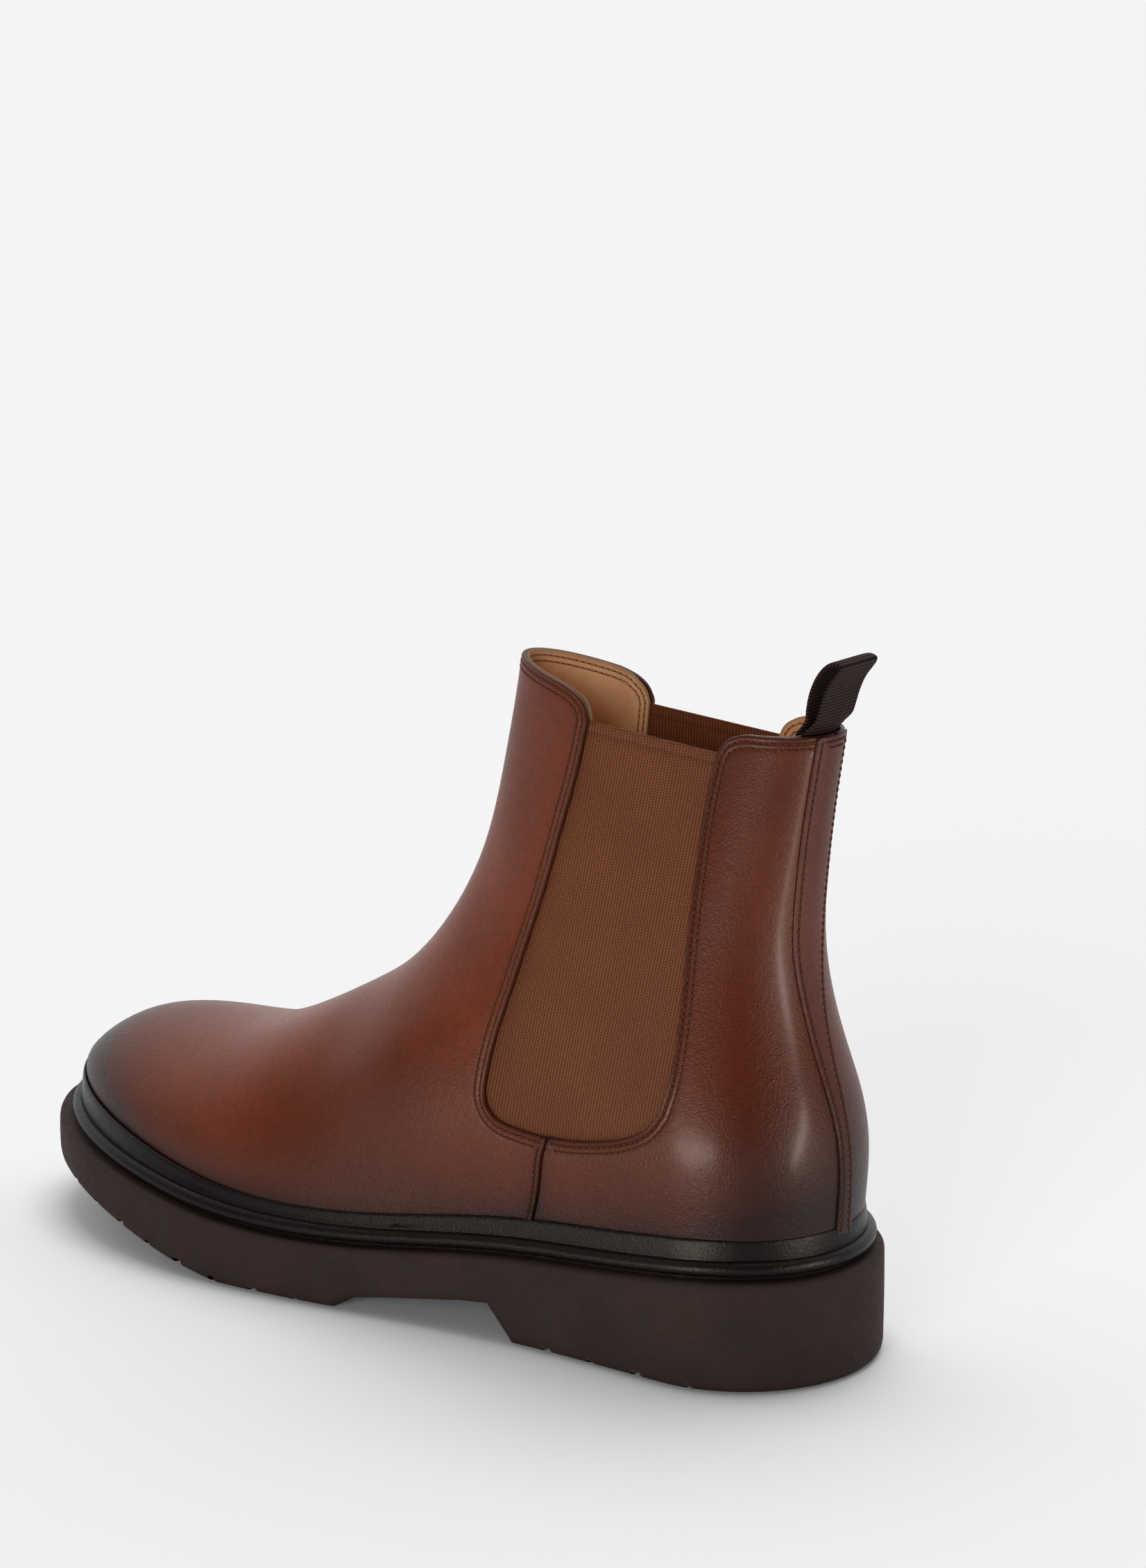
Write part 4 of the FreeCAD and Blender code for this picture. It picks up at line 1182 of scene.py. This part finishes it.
def cut_tread(sole):
    """Cuts the grooves, alternately narrow and wide, and the channel down the middle."""
    boxes = []
    for index, x in enumerate(GROOVES_HEEL + GROOVES_FORE):
        width = GROOVE_WIDTHS[index % 2]
        floor = float(ground(np.array([x]))[0])
        turn = math.acos(1 - 2 * x / LENGTH)
        for side in (1, -1):
            edge = float(outline(np.array([side * turn]), 0, 0)[0, 1])
            near, far = sorted((edge - side * GROOVE_REACH, edge + side * CUT_BESIDE))
            boxes.append(((x - width / 2, near, floor - CUT_BELOW),
                          (x + width / 2, far, floor + GROOVE_DEPTH)))
    boxes.append(((20, -1.5, -CUT_BELOW), (84, 1.5, GROOVE_DEPTH)))
    boxes.append(((162, -3.5, -CUT_BELOW), (258, -0.5, GROOVE_DEPTH + 0.4)))
    points, faces = [], []
    for low, high in boxes:
        box_points, box_faces = cutter_box(low, high)
        faces += [moved_up(face, len(points)) for face in box_faces]
        points += box_points
    mesh = bpy.data.meshes.new("cutters")
    mesh.from_pydata(to_frame(points).tolist(), [], faces)
    cutter = add_object("cutters", mesh)
    cut = sole.modifiers.new("tread", "BOOLEAN")
    cut.operation = "DIFFERENCE"
    cut.solver = "EXACT"
    cut.object = cutter
    bpy.context.view_layer.update()
    result = bpy.data.meshes.new_from_object(sole.evaluated_get(bpy.context.evaluated_depsgraph_get()))
    sole.modifiers.clear()
    old = sole.data
    sole.data = result
    sole.data.name = old.name + "_cut"
    bpy.data.meshes.remove(old)
    bpy.data.objects.remove(cutter)
    shade_smooth(sole.data, 32)


# ---------------------------------------------------------------- cushions under the foot
INNER_WALL = 3.2        # from the leather's face to the room inside
PAD_LENGTH = 85.5
PAD_INSET = 18.2
PAD_LOW, PAD_TOP = 4.1, 7.0
BED_TOP = 9.0
SOCK_LOW, SOCK_TOP = 9.1, 10.0
CUSHION_ROUND = 0.9


def moved_in(ring, distance):
    """A closed ring in plan, moved towards its inside."""
    ahead = unit(np.roll(ring, -1, axis=0) - np.roll(ring, 1, axis=0))
    return ring + distance * np.column_stack([ahead[:, 1], -ahead[:, 0]])


def hollow(x, y):
    """How far the heel and the ball of the foot have pressed the cushion in."""
    heel = 0.4 * bump(x, 46, 34) * bump(y, 0, 24)
    return heel + 0.3 * bump(x, 214, 40) * bump(y, 0, 34)


def over_pad(x, y):
    """Height of the footbed's underside over the sole: it rises where the heel pad lies."""
    width = sole_half(x, np.sign(y)) - PAD_INSET
    beside = smooth(PAD_LENGTH + 7, PAD_LENGTH + 1.5, x) * smooth(7, 1.5, np.abs(y) - width)
    return PAD_LOW + 3.0 * beside


def flat_at(rise):
    return lambda x, y: rise + 0 * x


def pressed(rise):
    return lambda x, y: rise - hollow(x, y)


def make_cushion(name, ring, low, high, radius, material, node):
    """Flat soft piece with rounded edges. low and high are its faces' heights over the sole."""
    rings = []
    for face, angles in ((high, (90, 60, 30, 0)), (low, (0, -30, -60, -90))):
        for angle in np.radians(angles):
            xy = moved_in(ring, radius * (1 - math.cos(angle)))
            middle = face(*xy.T) - radius * (1 if face is high else -1)
            rings.append(np.column_stack([xy, sole_top(xy[:, 0]) + middle + radius * math.sin(angle)]))
    ends = [lambda x, y, face=face: sole_top(x) + face(x, y) for face in (low, high)]
    points, faces = capped(rings, *ends, 4.0)
    return make_object(name, points, faces, material, [node], sharp=60)


def make_cushions():
    """Heel pad, footbed and the leather sock over them."""
    foam = plain_finish("foam", (222, 200, 160), (198, 172, 130), 0.9, 1600.0)
    around = np.linspace(0, TAU, 260, endpoint=False)
    wall = moved_in(upper_outline(around), INNER_WALL)
    last_turn = math.acos(1 - 2 * (PAD_LENGTH - PAD_INSET) / (LENGTH - 2 * PAD_INSET))
    pad = outline(np.linspace(-last_turn, last_turn, 90), PAD_INSET, PAD_INSET)
    front = pad[-1] + (pad[0] - pad[-1]) * np.linspace(0, 1, 24)[1:-1, None]
    bed = make_cushion("foam_footbed", wall, over_pad, pressed(BED_TOP), CUSHION_ROUND, foam,
                       "footbed")
    heel = make_cushion("foam_heel_pad", np.vstack([pad, front]), flat_at(PAD_LOW), flat_at(PAD_TOP),
                        CUSHION_ROUND, foam, "heel_pad")
    make_cushion("leather_sock", wall, pressed(SOCK_LOW), pressed(SOCK_TOP), 0.35,
                 tan_lining, "sock_cover")


# ---------------------------------------------------------------- pull tab
TAB_HALF_WIDTH = 9.0
RIBBON = 0.85
RIB_PITCH = 1.05


def ribbon_line():
    """Side view of the ribbon's middle, up from inside the shaft, over and back down, and its length."""
    front = [(14.15, 179), (14.2, 183), (14.9, 187.4), (14.9, 192), (14.2, 198), (12.2, 203.6), (9.0, 207.9),
             (4.9, 209.4)]
    back = [(3.5, 208.7), (3.9, 207.7), (6.6, 204.2), (9.2, 199), (10.9, 193.8), (12.5, 189.4),
            (13.25, 186.4), (13.3, 183), (13.3, 179)]
    points = np.array(front + back)
    t = travelled(points)
    ts = np.arange(0, t[-1], 0.17)
    return sample(ts, t, points, curved=True), ts


def make_pull_tab():
    """One folded grosgrain ribbon with its ribs across."""
    line, ts = ribbon_line()
    ahead = unit(np.gradient(line, axis=0))
    normal = np.column_stack([-ahead[:, 1], ahead[:, 0]])
    margin = np.linspace(0.86, 1, 5)
    across = np.concatenate([-margin[::-1], np.linspace(-0.78, 0.78, 14), margin])
    edge = 1 - np.abs(across)
    thin = 0.5 + 0.5 * smooth(184, 189, line[:, 1])
    ribs = 0.11 * np.cos(TAU * ts / RIB_PITCH)
    selvedge = smooth(0.075, 0.13, edge)
    body = np.sqrt(np.clip(edge / 0.035, 0, 1)) * 0.85 + 0.15
    at_y = np.abs(across) * TAB_HALF_WIDTH / (float(shaft_half(BACK_TOP_Z)) - 2.0)
    curve = (float(back_round(BACK_TOP_Z)) - 2.0) * (1 - (1 - at_y ** 2) ** (1 / 2.2))
    bend = curve[None, :] * smooth(193, 186.5, line[:, 1])[:, None]
    rows = []
    for sign in (1, -1):
        height = RIBBON / 2 * thin[:, None] * body[None, :]
        height = height + ribs[:, None] * selvedge[None, :] * thin[:, None]
        height += 0.05 * np.cos(TAU * ts / 0.6)[:, None] * (1 - selvedge)[None, :]
        point = line[:, None, :] + sign * normal[:, None, :] * height[:, :, None]
        y = np.broadcast_to(across * TAB_HALF_WIDTH, height.shape)
        rows.append(np.stack([point[..., 0] + bend, y, point[..., 1]], -1))
    length, width = rows[0].shape[:2]
    points = np.vstack([row.reshape(-1, 3) for row in rows])
    faces = []
    second = length * width
    for i in range(length - 1):
        for k in range(width - 1):
            a = i * width + k
            faces.append((a, a + 1, a + width + 1, a + width))
            faces.append((second + a, second + a + width, second + a + width + 1, second + a + 1))
        for k, turned in ((0, False), (width - 1, True)):
            a = i * width + k
            wall = (a, a + width, second + a + width, second + a)
            faces.append(wall[::-1] if turned else wall)
    for i, turned in ((0, True), (length - 1, False)):
        for k in range(width - 1):
            a = i * width + k
            wall = (a, a + 1, second + a + 1, second + a)
            faces.append(wall if turned else wall[::-1])
    weave = np.column_stack([np.tile(np.tile(across * TAB_HALF_WIDTH, length), 2),
                             np.tile(np.repeat(ts, width), 2), np.zeros(len(points))])
    piece = make_object("pull_tab_ribbon", points, faces, ribbon, ["pull_tab", "pull_tab_root"],
                        body=None, attributes={"weave": weave}, sharp=75)
    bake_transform(piece)


def ribbon_finish():
    """Grosgrain: ribs across the ribbon, pale on their crests and dark between them as painted highlight and
    painted shade, crossed by fine warp threads.
    """
    f = Finish("brown_grosgrain", sheen_weight=0.02, sheen_roughness=0.35, specular_ior_level=0.05)
    place = f.node("SeparateXYZ", Vector=f.attribute("weave").outputs["Vector"])
    warp = f.math("SINE", f.math("MULTIPLY", place.outputs[0], TAU / 0.34))
    ribs = f.math("SINE", f.math("ADD", f.math("MULTIPLY", place.outputs[1], TAU / RIB_PITCH), PI / 2))
    fleck = f.noise(2400.0, 2.0)
    # The colour stripes line up with the ribs of the mesh: painted highlight on the crests, painted shade in
    # the troughs.
    colour = f.mix(f.ramp(ribs, -0.7, 0.9), rgb(11, 6, 5), rgb(76, 51, 44))
    colour = f.mix(f.ramp(fleck, 0.35, 0.7, 0.0, 0.4), colour, rgb(28, 19, 18))
    return f.done(colour, f.ramp(fleck, 0.3, 0.7, 0.5, 0.66), f.bump(warp, 0.00005, 0.7))


ribbon = ribbon_finish()


# ---------------------------------------------------------------- inside the boot
def finish_inner_nodes():
    """Pieces whose shape is right stay as they are and get a finish."""
    board = plain_finish("stiffener_board", (214, 203, 180), (190, 176, 150), 0.7)
    cloth = plain_finish("backer_cloth", (208, 196, 176), (176, 162, 140), 0.85, 1500.0)
    steel = plain_finish("blued_steel", (150, 152, 158), (110, 112, 120), 0.35, 300.0, 1.0, (1, 14, 14))
    cork = plain_finish("ground_cork", (186, 140, 92), (112, 74, 44), 0.85, 420.0)
    fibre = plain_finish("insole_fibre", (190, 160, 124), (160, 128, 94), 0.75, 700.0)
    finishes = {"toe_puff": board, "heel_counter": board, "vamp_backer": cloth, "shank": steel,
                "bottom_filler": cork, "heel_filler": cork, "insole_board": fibre}
    for node, finish in finishes.items():
        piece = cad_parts[node]
        for place in piece.material_slots:
            place.material = finish


# ---------------------------------------------------------------- stage
CAMERA_PLACE = (-681.662, 1023.015, 467.819)
CAMERA_AIM = (0.59209, -0.77163, -0.23243)
LENS = 103.97
WARM = (1.0, 0.84, 0.72)
FLOOR_REACH = 15.0      # metres
FLOOR_TONE = 0.915
FLOOR_GLOW = 0.03
DIM_SIDE = 0.10
BRIGHT_SIDE = 1.06
BRIGHT_TOWARDS = (0.60, -0.78, 0.20)


def make_camera():
    """The photograph's camera."""
    data = bpy.data.cameras.new("camera")
    data.lens = LENS
    data.sensor_width = 36.0
    data.clip_start = 0.01
    camera = add_object("camera", data)
    camera.location = to_frame([CAMERA_PLACE])[0]
    camera.rotation_euler = Vector(CAMERA_AIM).to_track_quat("-Z", "Y").to_euler()
    bpy.context.scene.camera = camera


def make_sun(name, towards, width, power, shines=True):
    """Distant soft light from a direction. width is the angle that it fills, in degrees.

    With shines off it lights the boot's body and doesn't show as a highlight.
    """
    data = bpy.data.lights.new(name, "SUN")
    data.angle = math.radians(width)
    data.energy = power
    light = add_object(name, data)
    light.rotation_euler = Vector(towards).to_track_quat("Z", "Y").to_euler()
    light.visible_glossy = shines


def make_strip(name, start, end, aim, width, power):
    """Long reflector from start to end that shows only as a shine. Places are in millimetres."""
    start, end, aim = Vector(start), Vector(end), Vector(aim)
    middle = (start + end) / 2
    back = (middle - aim).normalized()
    side = (end - start).cross(back).normalized()
    data = bpy.data.lights.new(name, "AREA")
    data.shape = "ELLIPSE"
    data.size, data.size_y = width / 1000, (end - start).length / 1000
    data.energy = power
    data.color = WARM
    light = add_object(name, data)
    light.location = to_frame([middle])[0]
    light.rotation_euler = Matrix((side, back.cross(side), back)).transposed().to_euler()
    light.visible_diffuse = False
    light.visible_camera = False


def make_stage():
    """Floor, walls, two suns and the two reflectors that draw the highlights on the heel."""
    mesh = bpy.data.meshes.new("floor")
    corners = [(x * FLOOR_REACH, y * FLOOR_REACH, 0) for x, y in ((-1, -1), (1, -1), (1, 1), (-1, 1))]
    mesh.from_pydata(corners, [], [(0, 1, 2, 3)])
    floor_finish = Finish("pale_floor", base_color=(FLOOR_TONE, FLOOR_TONE, FLOOR_TONE, 1), roughness=0.95,
                          specular_ior_level=0.0, emission_color=(1, 1, 1, 1), emission_strength=FLOOR_GLOW)
    mesh.materials.append(floor_finish.done())
    add_object("floor", mesh)
    make_world()
    make_sun("top_sun", (0.10, -0.25, 1.0), 40, 1.18)
    make_sun("side_sun", (-0.28, 1.0, 0.30), 28, 0.87, shines=False)
    make_strip("heel_strip", (-296, 50, 14), (-286, -74, 152), (12, 15, 76), 22, 0.80)
    make_strip("low_strip", (-28, 278, 52), (180, 290, 18), (45, 35, 66), 48, 0.70)


def make_world():
    """Studio walls: bright behind the boot, dim beside the camera."""
    world = bpy.data.worlds.new("studio")
    world.use_nodes = True
    tree = world.node_tree
    background = tree.nodes["Background"]
    background.inputs["Color"].default_value = (1, 1, 1, 1)
    place = tree.nodes.new("ShaderNodeTexCoord")
    share = tree.nodes.new("ShaderNodeVectorMath")
    share.operation = "DOT_PRODUCT"
    share.inputs[1].default_value = Vector(BRIGHT_TOWARDS).normalized()
    spread = tree.nodes.new("ShaderNodeMapRange")
    spread.interpolation_type = "SMOOTHSTEP"
    spread.inputs["From Min"].default_value = -0.25
    spread.inputs["From Max"].default_value = 0.75
    spread.inputs["To Min"].default_value = DIM_SIDE
    spread.inputs["To Max"].default_value = BRIGHT_SIDE
    tree.links.new(place.outputs["Generated"], share.inputs[0])
    tree.links.new(share.outputs["Value"], spread.inputs["Value"])
    tree.links.new(spread.outputs["Result"], background.inputs["Strength"])
    bpy.context.scene.world = world


bpy.context.scene.view_settings.view_transform = "Standard"
make_camera()
make_stage()
rows = make_vamp() + make_quarter(1) + make_quarter(-1) + make_backstay()
make_stitches("upper_stitching", rows, thread, hole)
make_gore(1)
make_gore(-1)
lining_rows = make_lining_front() + make_lining_quarter()
make_toe_lining()
make_heel_lining()
make_stitches("lining_stitching", lining_rows, pale_thread, tan_hole)
make_welt()
cut_tread(make_outsole())
make_cushions()
make_pull_tab()
finish_inner_nodes()
